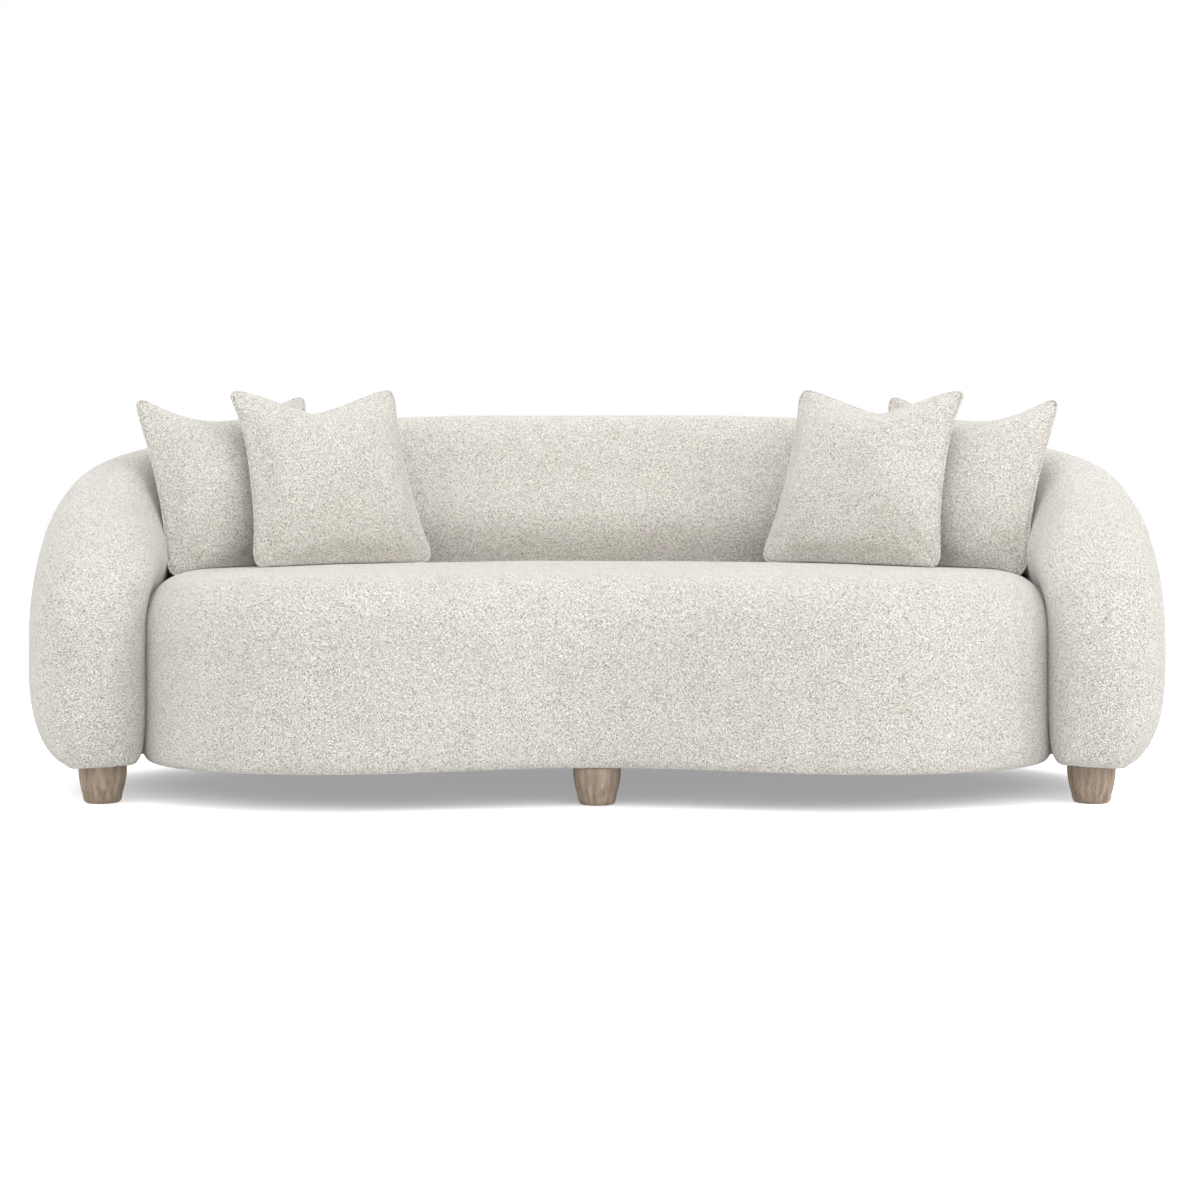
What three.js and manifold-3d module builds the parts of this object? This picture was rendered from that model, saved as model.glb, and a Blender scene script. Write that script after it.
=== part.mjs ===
import * as THREE from 'three';
import { mergeVertices } from 'three/addons/utils/BufferGeometryUtils.js';
import Module from 'manifold-3d';

// Curved three-seat sofa in boucle, with four loose cushions. Millimetres, +Z up, -Y is the front.
// The origin lies on the floor, in the middle of the sofa's plan.

// Overall
const overallWidth = 2312;
const overallDepth = 1000;
const groundClearance = 75;

// Roll of the arms and the back
const armThickness = 230;
const backThickness = 250;
const backRise = 323;
const waistHeight = 290;
const bellyDrop = 222;
const noseSetback = 72;
const noseCurl = 88;
const noseRound = 118;
const noseToeRound = 84;
const noseTrim = 9;
const cornerReach = 443;
const crestClimb = 1450;
const cornerFullnessShare = 2.6;
const crestFullnessShare = 2.15;
const upperFullnessShare = 2.6;
const lowerFullnessShare = 2.65;
const noseToeFullnessShare = 7;
const armSwell = { depth: 38, heightOverSeat: 15, spanBelow: 60, spanAbove: 105 };
const backSwell = { depth: 30, heightOverSeat: 80, spanBelow: 80, spanAbove: 80 };

// Seat
const seatHeight = 465;
const seatCrown = 14;
const lobeSetIn = 521;
const lobeFullnessShare = 1.82;
const lobeDip = 105;
const seatEdgeRise = 132;
const seatEdgeRun = 112;
const seatToeRise = 34;
const seatToeRun = 18;
const seatHemWidth = 12;

// Cloth, padding and the play between them
const coverThickness = 3;
const foamThickness = 45;
const linerThickness = 3;
const fitGap = 0.4;
const seamGap = 1.2;

// Base board, under both the seat and the roll
const boardThickness = 18;
const tongueHalfWidth = 42;
const tongueTip = 78;
const bridgeMargin = 20;
const openingSetIn = 501;
const openingWeb = 140;
const openingFrontReach = 250;
const openingBackReach = 245;
const boardInset = 24;
const dustCoverInset = 8;
const dustCoverThickness = 1;

// Ribs and bent rail inside the roll
const ribThickness = 18;
const ribFootWidth = 84;
const ribHoleWidth = 60;
const ribHoleMargin = 70;
const crestRailWidth = 30;
const crestRailHeight = 20;
const crestRailDip = 7;
const crestRailStart = 980;
const linerStart = 150;
const ribRunShares = [0.105, 0.29, 0.48, 0.68, 0.89];
const splitStation = 8;

// Seat frame and springs
const railThickness = 22;
const foamOverSprings = 121;
const railFoamGap = 0.5;
const crossRailThickness = 32;
const crossRailHeight = 60;
const springCount = 9;
const springSetIn = 369;
const springWire = 3.8;
const springHalfWidth = 27;
const springBarStep = 48;
const springRise = 34;
const springSeatDepth = 9;

// Feet
const footTopRadius = 47.4;
const footSoleRadius = 30;
const footEdgeRound = 15;
const footBelly = 2.5;
const footEdgeTurn = 8;
const frontFootOffset = 24;
const frontFootRun = 119;
const centreFootReach = 167;
const rearFootReach = 673;
const boltRadius = 4;
const boltEmbed = 42;
const nutRadius = 7;

// Scatter cushions
const cushionWidth = 384;
const cushionHeight = 368;
const cushionThickness = 130;
const cushionLip = 6;
const cushionDrawIn = 9;
const cushionEar = 14;
const cushionSlump = 12;
const crownFullnessShare = 2.4;
const crownTaperShare = 0.62;
const earSharpnessShare = 6;
const rearCushion = { setIn: 271, setback: 308, rest: -38.7, turn: 36, lean: 21, roll: 4 };
const frontCushion = { setIn: 481, setback: 311, rest: -10.6, turn: 32, lean: 20, roll: 1 };

// How finely the curved forms are divided
const noseSteps = 4;
const runSteps = 13;
const hollowSteps = 6;
const lobeSteps = 6;
const cushionSteps = 10;
const springSides = 4;
const footSides = 18;
const boltSides = 8;
const openingSides = 12;
const holeSides = 8;
const tongueSteps = 6;
const toeShares = [0, 0.36, 0.7, 1];
const edgeShares = [0, 0.22, 0.45, 0.7, 1];
const innerRingShare = 0.5;
const footShares = [0.5, 1];
const hemStartShare = 0.5;

const creamCloth = new THREE.MeshStandardMaterial({ color: 0xe2ddd3, roughness: 0.95, metalness: 0 });
const blackCloth = new THREE.MeshStandardMaterial({ color: 0x1d1d1f, roughness: 0.9, metalness: 0 });
const foam = new THREE.MeshStandardMaterial({ color: 0xe9e2c4, roughness: 0.9, metalness: 0 });
const oak = new THREE.MeshStandardMaterial({ color: 0x968675, roughness: 0.6, metalness: 0 });
const plywood = new THREE.MeshStandardMaterial({ color: 0xc9a878, roughness: 0.7, metalness: 0 });
const hardboard = new THREE.MeshStandardMaterial({ color: 0x8a6a48, roughness: 0.8, metalness: 0 });
const steel = new THREE.MeshStandardMaterial({ color: 0x9a9da0, roughness: 0.35, metalness: 1 });

const wasm = await Module();
wasm.setup();

// Small helpers

const clampUnit = (value) => Math.min(1, Math.max(0, value));
const smoothStep = (from, to, value) => {
  const share = clampUnit((value - from) / (to - from));
  return share * share * (3 - 2 * share);
};
const signedPower = (value, power) => Math.sign(value) * Math.abs(value) ** power;
const superQuarter = (share, fullness) => (1 - clampUnit(share) ** fullness) ** (1 / fullness);
const radians = (degrees) => THREE.MathUtils.degToRad(degrees);

// Turns corner positions and triangles into a closed geometry whose faces point outwards.
// Corners that coincide, as at a pole, become one, and triangles that lost their area go.
function closedGeometry(corners, triangles) {
  const key = (p) => `${Math.round(p.x * 2e3)},${Math.round(p.y * 2e3)},${Math.round(p.z * 2e3)}`;
  const seen = new Map();
  const kept = [];
  const slot = corners.map((p) => {
    const name = key(p);
    if (!seen.has(name)) {
      seen.set(name, kept.length);
      kept.push(p);
    }
    return seen.get(name);
  });
  const faces = triangles.map((t) => t.map((i) => slot[i]));
  const solid = faces.filter(([a, b, c]) => a !== b && b !== c && c !== a);
  let volume = 0;
  for (const [a, b, c] of solid) {
    volume += kept[a].dot(new THREE.Vector3().crossVectors(kept[b], kept[c]));
  }
  const ordered = volume < 0 ? solid.map(([a, b, c]) => [a, c, b]) : solid;
  const geometry = new THREE.BufferGeometry();
  geometry.setAttribute('position', new THREE.Float32BufferAttribute(kept.flatMap((p) => p.toArray()), 3));
  geometry.setIndex(ordered.flat());
  return geometry;
}

// Two grids of points, one for each face of a sheet or shell, joined by a rim wherever a face ends.
// keep says which cells of the grid the sheet has, and loops says that its columns go round.
function sheetGeometry(front, back, { loops = false, keep = () => true } = {}) {
  const rows = front.length;
  const columns = front[0].length;
  const cells = loops ? columns : columns - 1;
  const shift = rows * columns;
  const corners = [...front.flat(), ...back.flat()];
  const triangles = [];
  const at = (i, j) => i * columns + (j % columns);
  const has = (i, j) => {
    const column = loops ? (j + cells) % cells : j;
    return i >= 0 && i < rows - 1 && column >= 0 && column < cells && keep(i, column);
  };
  const rim = (a, b) => triangles.push([b, a, a + shift], [b, a + shift, b + shift]);
  for (let i = 0; i < rows - 1; i += 1) {
    for (let j = 0; j < cells; j += 1) {
      if (!has(i, j)) continue;
      const [a, b, c, d] = [at(i, j), at(i + 1, j), at(i + 1, j + 1), at(i, j + 1)];
      triangles.push([a, b, c], [a, c, d]);
      triangles.push([a + shift, c + shift, b + shift], [a + shift, d + shift, c + shift]);
      if (!has(i - 1, j)) rim(d, a);
      if (!has(i + 1, j)) rim(b, c);
      if (!has(i, j - 1)) rim(a, b);
      if (!has(i, j + 1)) rim(c, d);
    }
  }
  return closedGeometry(corners, triangles);
}

// Closed rings of points, one after the other. Each end closes in a fan, or in the point it shrank to.
function ringGeometry(rings) {
  const count = rings[0].length;
  const corners = rings.flat();
  const triangles = [];
  for (let i = 0; i < rings.length - 1; i += 1) {
    for (let j = 0; j < count; j += 1) {
      const k = (j + 1) % count;
      const [a, b] = [i * count + j, i * count + k];
      triangles.push([a, b, b + count], [a, b + count, a + count]);
    }
  }
  const last = (rings.length - 1) * count;
  for (let j = 1; j < count - 1; j += 1) {
    triangles.push([0, j + 1, j], [last, last + j, last + j + 1]);
  }
  return closedGeometry(corners, triangles);
}

const ellipsePoints = ({ x, y, rx, ry, steps }) => Array.from({ length: steps }, (_, i) => {
  const angle = (2 * Math.PI * i) / steps;
  return [x + rx * Math.cos(angle), y + ry * Math.sin(angle)];
});

function shapeFrom(points, holes = []) {
  const corners = points.map(([x, y]) => new THREE.Vector2(x, y));
  if (THREE.ShapeUtils.isClockWise(corners)) corners.reverse();
  const shape = new THREE.Shape(corners);
  for (const hole of holes) {
    const path = new THREE.Path();
    path.setFromPoints(ellipsePoints(hole).reverse().map(([x, y]) => new THREE.Vector2(x, y)));
    shape.holes.push(path);
  }
  return shape;
}

function extrude(shape, depth) {
  const geometry = new THREE.ExtrudeGeometry(shape, { depth, bevelEnabled: false, curveSegments: 1 });
  return weld(geometry);
}

function weld(geometry) {
  geometry.deleteAttribute('normal');
  geometry.deleteAttribute('uv');
  return mergeVertices(geometry, 1e-3);
}

function toSolid(geometry) {
  const { position } = geometry.attributes;
  return new wasm.Manifold(new wasm.Mesh({
    numProp: 3,
    vertProperties: new Float32Array(position.array),
    triVerts: new Uint32Array(geometry.index.array),
  }));
}

function fromSolid(solid) {
  const mesh = solid.getMesh();
  const geometry = new THREE.BufferGeometry();
  geometry.setAttribute('position', new THREE.BufferAttribute(new Float32Array(mesh.vertProperties), 3));
  geometry.setIndex(new THREE.BufferAttribute(new Uint32Array(mesh.triVerts), 1));
  return geometry;
}

const group = new THREE.Group();
group.name = 'curved_sofa';

function addMesh(name, geometry, material, parent = group) {
  const mesh = new THREE.Mesh(geometry, material);
  mesh.name = name;
  parent.add(mesh);
  return mesh;
}

// Plan of the roll: the line down its middle, from the right nose round the back to the left nose.
// Each half is a nearly straight arm that curls in at the nose, and a superellipse round the back.

const frontY = -overallDepth / 2;
const backY = overallDepth / 2;
const noseTipY = frontY + noseSetback;
const armLineX = (overallWidth - armThickness) / 2;
const backLineY = backY - backThickness / 2;
const shoulderY = backLineY - cornerReach;
const armRun = shoulderY - noseTipY;
const crestHeight = seatHeight + backRise;

function halfPathPoints() {
  const points = [];
  const armPoints = 60;
  const backPoints = 160;
  for (let i = 0; i <= armPoints; i += 1) {
    const share = 1 - i / armPoints;
    points.push([armLineX - noseCurl * share ** 2, shoulderY - armRun * share]);
  }
  for (let i = 1; i <= backPoints; i += 1) {
    const angle = (Math.PI / 2) * (i / backPoints);
    const power = 2 / cornerFullnessShare;
    points.push([
      armLineX * Math.cos(angle) ** power,
      shoulderY + (backLineY - shoulderY) * Math.sin(angle) ** power,
    ]);
  }
  points[points.length - 1][0] = 0;
  return points;
}

const halfPath = halfPathPoints();
const halfRuns = [0];
for (let i = 1; i < halfPath.length; i += 1) {
  const [a, b] = [halfPath[i - 1], halfPath[i]];
  halfRuns.push(halfRuns[i - 1] + Math.hypot(b[0] - a[0], b[1] - a[1]));
}
const halfLength = halfRuns[halfRuns.length - 1];
const pathLength = 2 * halfLength;

function halfPathPoint(run) {
  let i = 1;
  while (i < halfRuns.length - 1 && halfRuns[i] < run) i += 1;
  const share = (run - halfRuns[i - 1]) / (halfRuns[i] - halfRuns[i - 1]);
  const [a, b] = [halfPath[i - 1], halfPath[i]];
  return [a[0] + (b[0] - a[0]) * share, a[1] + (b[1] - a[1]) * share];
}

// Place and outward normal of the middle line at a distance along it.
function pathAt(run) {
  const mirrored = run > halfLength;
  const near = mirrored ? pathLength - run : run;
  const reach = armThickness / 24;
  const before = halfPathPoint(Math.max(0, near - reach));
  const after = near + reach > halfLength
    ? [-halfPathPoint(pathLength - near - reach)[0], halfPathPoint(pathLength - near - reach)[1]]
    : halfPathPoint(near + reach);
  const length = Math.hypot(after[0] - before[0], after[1] - before[1]);
  const tangent = [(after[0] - before[0]) / length, (after[1] - before[1]) / length];
  const [x, y] = halfPathPoint(near);
  const side = mirrored ? -1 : 1;
  return { x: side * x, y, nx: side * tangent[1], ny: -tangent[0] };
}

// Height of the roll's crest: it climbs from the nose to the back along a superellipse.
function crestAt(run) {
  const near = Math.min(run, pathLength - run);
  return waistHeight + (crestHeight - waistHeight) * superQuarter(1 - near / crestClimb, crestFullnessShare);
}

const boardBottom = groundClearance + coverThickness + fitGap;
const boardTop = boardBottom + boardThickness;
const foamInset = coverThickness + fitGap;
const cavityInset = foamInset + foamThickness;
const linerInset = cavityInset + fitGap;
const ribInset = linerInset + linerThickness + fitGap;

// Angles that divide the roll's section, from the hem on the inner side over the crest to the outer hem.
const sectionAngles = [-108, -128, -152, 180, 167, 152, 135, 118, 102, 90, 78, 62, 45, 25, 0, -28, -52, -72];
const hemTurn = 8;
const lastColumn = sectionAngles.length - 1;
const rollThicknessAt = (near) => {
  const share = clampUnit((near - armRun) / (halfLength - armRun));
  return armThickness + (backThickness - armThickness) * share;
};
const nearEnd = (run) => Math.min(run, pathLength - run);

// The inner face of each arm is a little slimmer towards its nose.
const noseTrimAt = (near) => noseTrim * (1 - smoothStep(noseRound, armRun, near));
const innerHalfAt = (near) => rollThicknessAt(near) / 2 - noseTrimAt(near);

// How far the inner face swells at a height, lower down on the arms than on the back.
function swellAt(near, height) {
  const share = smoothStep(armRun, 2 * armRun, near);
  const mix = (name) => armSwell[name] + (backSwell[name] - armSwell[name]) * share;
  const above = height - seatHeight - mix('heightOverSeat');
  const span = above < 0 ? mix('spanBelow') : mix('spanAbove');
  return mix('depth') * Math.exp(-((above / span) ** 2));
}

// Behind the noses the inner hem climbs from under the board onto it, up to this distance.
const bridgeRun = noseRound + (halfLength - noseRound) / runSteps;

// Section of the roll at a distance along its path, drawn in by an inset on every side.
// Returns points of [distance outwards from the middle line, height].
function rollSection(run, inset, floors) {
  const near = nearEnd(run);
  const nose = superQuarter(1 - near / noseRound, 2);
  const toe = superQuarter(1 - near / noseToeRound, lowerFullnessShare);
  const outerHalf = (rollThicknessAt(near) / 2 - inset) * nose;
  const innerHalf = (innerHalfAt(near) - inset) * nose;
  const squareness = 1 - smoothStep(noseRound, armRun, near);
  const innerToeFullness = lowerFullnessShare + (noseToeFullnessShare - lowerFullnessShare) * squareness;
  const rise = Math.max(0, (crestAt(run) - waistHeight) * (1 - inset / (crestHeight - waistHeight)));
  const drop = (bellyDrop - inset) * toe;
  const raised = smoothStep(noseRound, bridgeRun, near);
  const innerFloor = floors.outer + raised * (floors.inner - floors.outer);
  return sectionAngles.map((degrees, index) => {
    const inner = Math.abs(degrees) > 90;
    const turned = index === 0 ? degrees - raised * hemTurn : degrees;
    const [c, s] = [Math.cos(radians(turned)), Math.sin(radians(turned))];
    const lowerFullness = inner && index > 0 ? innerToeFullness : lowerFullnessShare;
    const power = 2 / (s > 0 ? upperFullnessShare : lowerFullness);
    const height = waistHeight + (s > 0 ? rise : drop) * signedPower(s, power);
    const swell = inner ? nose * swellAt(near, height) : 0;
    const floor = Math.min(inner ? innerFloor : floors.outer, waistHeight);
    const isHem = near > noseRound * hemStartShare && (index === 0 || index === lastColumn);
    const out = (inner ? innerHalf : outerHalf) * signedPower(c, power) - swell;
    return [out, isHem ? floor : Math.max(height, floor)];
  });
}

// The hem of the outer cloth: under the board at the outside, and on top of it behind the seat.
const clothFloors = (inset) => ({
  outer: groundClearance + inset,
  inner: boardTop + fitGap + inset,
});
const foamFloor = boardTop + coverThickness + 2 * fitGap;
const foamFloors = { outer: foamFloor, inner: foamFloor };

// A place on the roll. An inset also moves the round of the nose back, and fades out behind it.
function onRoll(run, [out, height], inset = 0) {
  const near = nearEnd(run);
  const shifted = near + inset * Math.max(0, 1 - near / noseRound);
  const { x, y, nx, ny } = pathAt(run > halfLength ? pathLength - shifted : shifted);
  return new THREE.Vector3(x + nx * out, y + ny * out, height);
}

// Distances along the path at which the roll is divided, close together round the noses.
function halfStations() {
  const list = [];
  for (let i = 0; i <= noseSteps; i += 1) {
    list.push(noseRound * (1 - Math.cos((Math.PI / 2) * (i / noseSteps))));
  }
  for (let i = 1; i <= runSteps; i += 1) {
    list.push(noseRound + (halfLength - noseRound) * (i / runSteps));
  }
  return list;
}

const nearStations = halfStations();
const stations = [...nearStations, ...nearStations.slice(0, -1).reverse().map((run) => pathLength - run)];
const slotStation = noseSteps - 1;
const mirrorName = (base, side) => `${base}_${side > 0 ? 'right' : 'left'}`;

function rollRows(runs, inset, floors) {
  return runs.map((run) => rollSection(run, inset, floors).map((point) => onRoll(run, point, inset)));
}

// Cover of the roll: one sewn skin, open along a slot under the board from behind one nose to the other.
function wrapCover() {
  const inNose = (i) => i < slotStation || i >= stations.length - 1 - slotStation;
  const keep = (i, j) => j < lastColumn || inNose(i);
  const outside = rollRows(stations, 0, clothFloors(0));
  const inside = rollRows(stations, coverThickness, clothFloors(coverThickness));
  return sheetGeometry(outside, inside, { loops: true, keep });
}

// Padding of the roll between two of its stations, hollow for the ribs and open at the board.
function rollFoam(from, to) {
  const runs = stations.slice(from, to + 1);
  const clipped = runs.map((run, i) => {
    if (i === 0 && from > 0) return run + fitGap;
    if (i === runs.length - 1 && to < stations.length - 1) return run - fitGap;
    return run;
  });
  const inNose = (i) => i + from < slotStation || i + from >= stations.length - 1 - slotStation;
  const open = (j) => j === 0 || j >= lastColumn - 1;
  const keep = (i, j) => !open(j) || inNose(i);
  const outside = rollRows(clipped, foamInset, foamFloors);
  const inside = rollRows(clipped, cavityInset, foamFloors);
  return sheetGeometry(outside, inside, { loops: true, keep });
}

// Hardboard bent round the ribs: a strip of the roll between two of the section's angles.
function liner(first, last) {
  const runs = stations.filter((run) => nearEnd(run) >= linerStart);
  const strip = (inset) => rollRows(runs, inset, foamFloors).map((row) => row.slice(first, last + 1));
  return sheetGeometry(strip(linerInset), strip(linerInset + linerThickness));
}

const crestRailTop = (run) => crestAt(run) - ribInset - crestRailDip;

// Rail bent along the tops of the ribs. A gap makes it larger all round, for cutting its notches.
function crestRail(gap) {
  const start = crestRailStart - gap;
  const between = stations.filter((run) => nearEnd(run) > start);
  const runs = [start, ...between, pathLength - start];
  const half = crestRailWidth / 2 + gap;
  return ringGeometry(runs.map((run) => {
    const top = crestRailTop(run) + gap;
    const bottom = top - crestRailHeight - 2 * gap;
    return [[-half, top], [half, top], [half, bottom], [-half, bottom]].map((point) => onRoll(run, point));
  }));
}

// A flat piece that stands across the roll: its X runs outwards, its Y up and its Z along the path.
function acrossRoll(shape, run, thickness = ribThickness) {
  const { x, y, nx, ny } = pathAt(run);
  const out = new THREE.Vector3(nx, ny, 0);
  const up = new THREE.Vector3(0, 0, 1);
  const along = new THREE.Vector3().crossVectors(out, up);
  const place = new THREE.Matrix4().makeBasis(out, up, along);
  place.setPosition(new THREE.Vector3(x, y, 0).addScaledVector(along, -thickness / 2));
  return toSolid(extrude(shape, thickness).applyMatrix4(place));
}

const rectangle = (halfWidth, bottom, top) => [
  [-halfWidth, bottom], [halfWidth, bottom], [halfWidth, top], [-halfWidth, top],
];

// Rib: a slice of the room inside the linings, on a foot that stands on the board. It is lightened by a
// hole and notched for the bent rail.
function ribGeometry(run, room, notch) {
  const foot = boardTop + fitGap;
  const crest = crestAt(run) - ribInset;
  const hole = {
    x: 0,
    y: (foot + crest) / 2,
    rx: ribHoleWidth / 2,
    ry: (crest - foot) / 2 - ribHoleMargin,
    steps: holeSides,
  };
  const slice = acrossRoll(shapeFrom(rectangle(backThickness, foot, crestHeight)), run).intersect(room);
  const stand = acrossRoll(shapeFrom(rectangle(ribFootWidth / 2, foot, waistHeight)), run);
  const opening = acrossRoll(shapeFrom(ellipsePoints(hole)), run, 2 * ribThickness);
  return fromSolid(slice.add(stand).subtract(opening).subtract(notch));
}

// Plan of the seat: a shallow hollow in the middle of the front, a round lobe on each side of it,
// and behind the lobes the inner face of the roll.

const lobeSpread = armLineX - lobeSetIn;

const innerFace = (run, gap) => {
  const { x, y, nx, ny } = pathAt(run);
  const out = -(innerHalfAt(nearEnd(run)) + gap);
  return [x + nx * out, y + ny * out];
};

// Each lobe is a quarter of a superellipse that ends at the inner face of the roll.
const lobeEnd = new THREE.Vector2(...innerFace(bridgeRun, seamGap));
const lobeHalfWidth = lobeEnd.x - lobeSpread;
const lobeReach = lobeEnd.y - frontY;

// Half of the seat's outline with its outward directions, from the middle of the front to the middle
// of the back. Behind the lobe it has a point at each station of the roll, so the two faces run parallel.
function halfOutline() {
  const places = [];
  for (let i = 0; i < hollowSteps; i += 1) {
    const share = i / hollowSteps;
    const slope = (-lobeDip * Math.PI * Math.sin(Math.PI * share)) / (2 * lobeSpread);
    const point = new THREE.Vector2(
      lobeSpread * share,
      frontY + (lobeDip * (1 + Math.cos(Math.PI * share))) / 2,
    );
    places.push({ point, out: new THREE.Vector2(slope, -1).normalize() });
  }
  for (let i = 0; i < lobeSteps; i += 1) {
    const angle = (Math.PI / 2) * (i / lobeSteps);
    const across = Math.sin(angle) ** (2 / lobeFullnessShare);
    const back = Math.cos(angle) ** (2 / lobeFullnessShare);
    const slope = lobeFullnessShare - 1;
    places.push({
      point: new THREE.Vector2(lobeSpread + lobeHalfWidth * across, frontY + lobeReach * (1 - back)),
      out: new THREE.Vector2(lobeReach * across ** slope, -lobeHalfWidth * back ** slope).normalize(),
    });
  }
  for (const run of nearStations.filter((station) => station >= bridgeRun)) {
    const { nx, ny } = pathAt(run);
    places.push({ point: new THREE.Vector2(...innerFace(run, seamGap)), out: new THREE.Vector2(nx, ny) });
  }
  return places;
}

// The whole outline, from the middle of the front to the right and right round.
function seatOutline() {
  const right = halfOutline();
  const flip = ({ x, y }) => new THREE.Vector2(-x, y);
  const left = right.slice(1, -1).reverse().map(({ point, out }) => ({ point: flip(point), out: flip(out) }));
  return [...right, ...left];
}

const outline = seatOutline();
const outlineSteps = outline.length;

const insetPoint = ({ point, out }, inset) => [point.x - out.x * inset, point.y - out.y * inset];

function seatRing(inset, heightOf) {
  return outline.map((place) => {
    const [x, y] = insetPoint(place, inset);
    return new THREE.Vector3(x, y, heightOf(place.point.y));
  });
}

const seatShoulder = seatHeight - seatCrown - seatEdgeRise;
const seatMiddle = new THREE.Vector3(0, 0, seatHeight);

// Depth at which the hem of the seat's cloth starts to climb onto the board.
const hemLift = noseTipY + noseRound;

// Height of the seat cloth's hem at a depth: under the board in front, and on it between seat and roll.
function seatFloor(inset, y) {
  const raised = smoothStep(hemLift + bridgeMargin, noseTipY + bridgeRun - bridgeMargin, y);
  return groundClearance + inset + raised * (boardTop + fitGap - groundClearance);
}

// Rings of the seat's skin from the hem up the side and over the edge to the middle of the top.
function seatRings(inset, floorAt) {
  const rings = [];
  const add = (depth, height) => rings.push(seatRing(depth, (y) => Math.max(height, floorAt(y))));
  add(seatToeRun + seatHemWidth, groundClearance + inset);
  for (const share of toeShares) {
    const angle = (Math.PI / 2) * share;
    const run = (seatToeRun - inset) * (1 - Math.sin(angle));
    add(inset + run, groundClearance + inset + (seatToeRise - inset) * (1 - Math.cos(angle)));
  }
  add(inset, (groundClearance + seatToeRise + seatShoulder) / 2);
  for (const share of edgeShares) {
    const angle = (Math.PI / 2) * share;
    const run = (seatEdgeRun - inset) * (1 - Math.cos(angle));
    add(inset + run, seatShoulder + (seatEdgeRise - inset) * Math.sin(angle));
  }
  const edge = rings[rings.length - 1];
  const top = seatMiddle.clone().setZ(seatHeight - inset);
  const crownRise = seatCrown * (1 - innerRingShare ** 2);
  const ringHeight = seatHeight - inset - seatCrown + crownRise;
  rings.push(edge.map((p) => p.clone().lerp(top, innerRingShare).setZ(ringHeight)));
  rings.push(edge.map(() => top.clone()));
  return rings;
}

function seatCover() {
  const outside = seatRings(0, (y) => seatFloor(0, y));
  const inside = seatRings(coverThickness, (y) => seatFloor(coverThickness, y));
  return sheetGeometry(outside, inside, { loops: true });
}

const springTop = seatHeight - foamInset - foamOverSprings;
const springSeat = springTop - springRise - springWire / 2;
const railTop = springSeat - springWire / 2 - fitGap;
const railHeight = railTop - boardTop - fitGap;

// Seat padding: a deep block over the springs, with a skirt down in front of the rails.
function seatFoam() {
  const ceiling = springTop + fitGap;
  const skin = seatRings(foamInset, () => foamFloor).slice(1);
  const hollowMiddle = seatMiddle.clone().setZ(ceiling);
  const rings = [
    outline.map(() => hollowMiddle),
    seatRing(cavityInset, () => ceiling),
    seatRing(cavityInset, () => foamFloor),
    ...skin,
  ];
  return ringGeometry(rings);
}

// Strip of board that stands along a stretch of the seat's outline, between two insets.
function outlineStrip(first, last, inset, thickness, height) {
  const picks = [];
  for (let i = first; i <= last; i += 1) picks.push(outline[(i + outlineSteps) % outlineSteps]);
  const outer = picks.map((place) => insetPoint(place, inset));
  const inner = picks.map((place) => insetPoint(place, inset + thickness));
  const trim = (line) => {
    const cut = ([a, b]) => {
      const length = Math.hypot(b[0] - a[0], b[1] - a[1]);
      return [a[0] + ((b[0] - a[0]) * fitGap) / length, a[1] + ((b[1] - a[1]) * fitGap) / length];
    };
    const end = line.length - 1;
    return [cut([line[0], line[1]]), ...line.slice(1, end), cut([line[end], line[end - 1]])];
  };
  return extrude(shapeFrom([...trim(outer), ...trim(inner).reverse()]), height);
}

// Where the inner faces of the front and back rails cross a line from front to back.
function railSpan(x) {
  const inset = cavityInset + railFoamGap + railThickness;
  const crossing = (front) => {
    for (let i = 0; i < outlineSteps; i += 1) {
      const a = insetPoint(outline[i], inset);
      const b = insetPoint(outline[(i + 1) % outlineSteps], inset);
      const between = (a[0] - x) * (b[0] - x) <= 0 && a[0] !== b[0];
      const y = a[1] + ((b[1] - a[1]) * (x - a[0])) / (b[0] - a[0]);
      if (between && (front ? y < 0 : y > 0)) return y;
    }
    return 0;
  };
  return [crossing(true), crossing(false)];
}

// Round wire along a list of points, with closed ends.
function wire(points, radius, sides) {
  const up = new THREE.Vector3(0, 0, 1);
  const rings = points.map((point, i) => {
    const before = points[Math.max(0, i - 1)];
    const after = points[Math.min(points.length - 1, i + 1)];
    const along = after.clone().sub(before).normalize();
    const across = new THREE.Vector3().crossVectors(along, up).normalize();
    const over = new THREE.Vector3().crossVectors(across, along);
    return Array.from({ length: sides }, (_, k) => {
      const angle = (2 * Math.PI * (k + 0.5)) / sides;
      return point.clone()
        .addScaledVector(across, radius * Math.cos(angle))
        .addScaledVector(over, radius * Math.sin(angle));
    });
  });
  return ringGeometry(rings);
}

// Middle line of a sinuous spring: bars from side to side, joined by round bends, in a low arch.
// The first and the last bar lie on the rails.
function springLine(x) {
  const [front, back] = railSpan(x);
  const start = front - railThickness + springSeatDepth;
  const end = back + railThickness - springSeatDepth;
  const bars = 2 * Math.round((end - start) / springBarStep / 2) + 1;
  const step = (end - start) / (bars - 1);
  const bend = step / 2;
  const bar = springHalfWidth - bend;
  const height = (y) => {
    const share = clampUnit((y - front) / (back - front));
    return springSeat + springRise * Math.sin(Math.PI * share);
  };
  const points = [];
  for (let i = 0; i < bars; i += 1) {
    const side = i % 2 === 0 ? 1 : -1;
    const y = start + step * i;
    points.push([x - side * bar, y], [x + side * bar, y]);
    if (i < bars - 1) points.push([x + side * springHalfWidth, y + bend]);
  }
  return points.map(([px, py]) => new THREE.Vector3(px, py, height(py)));
}

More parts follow.
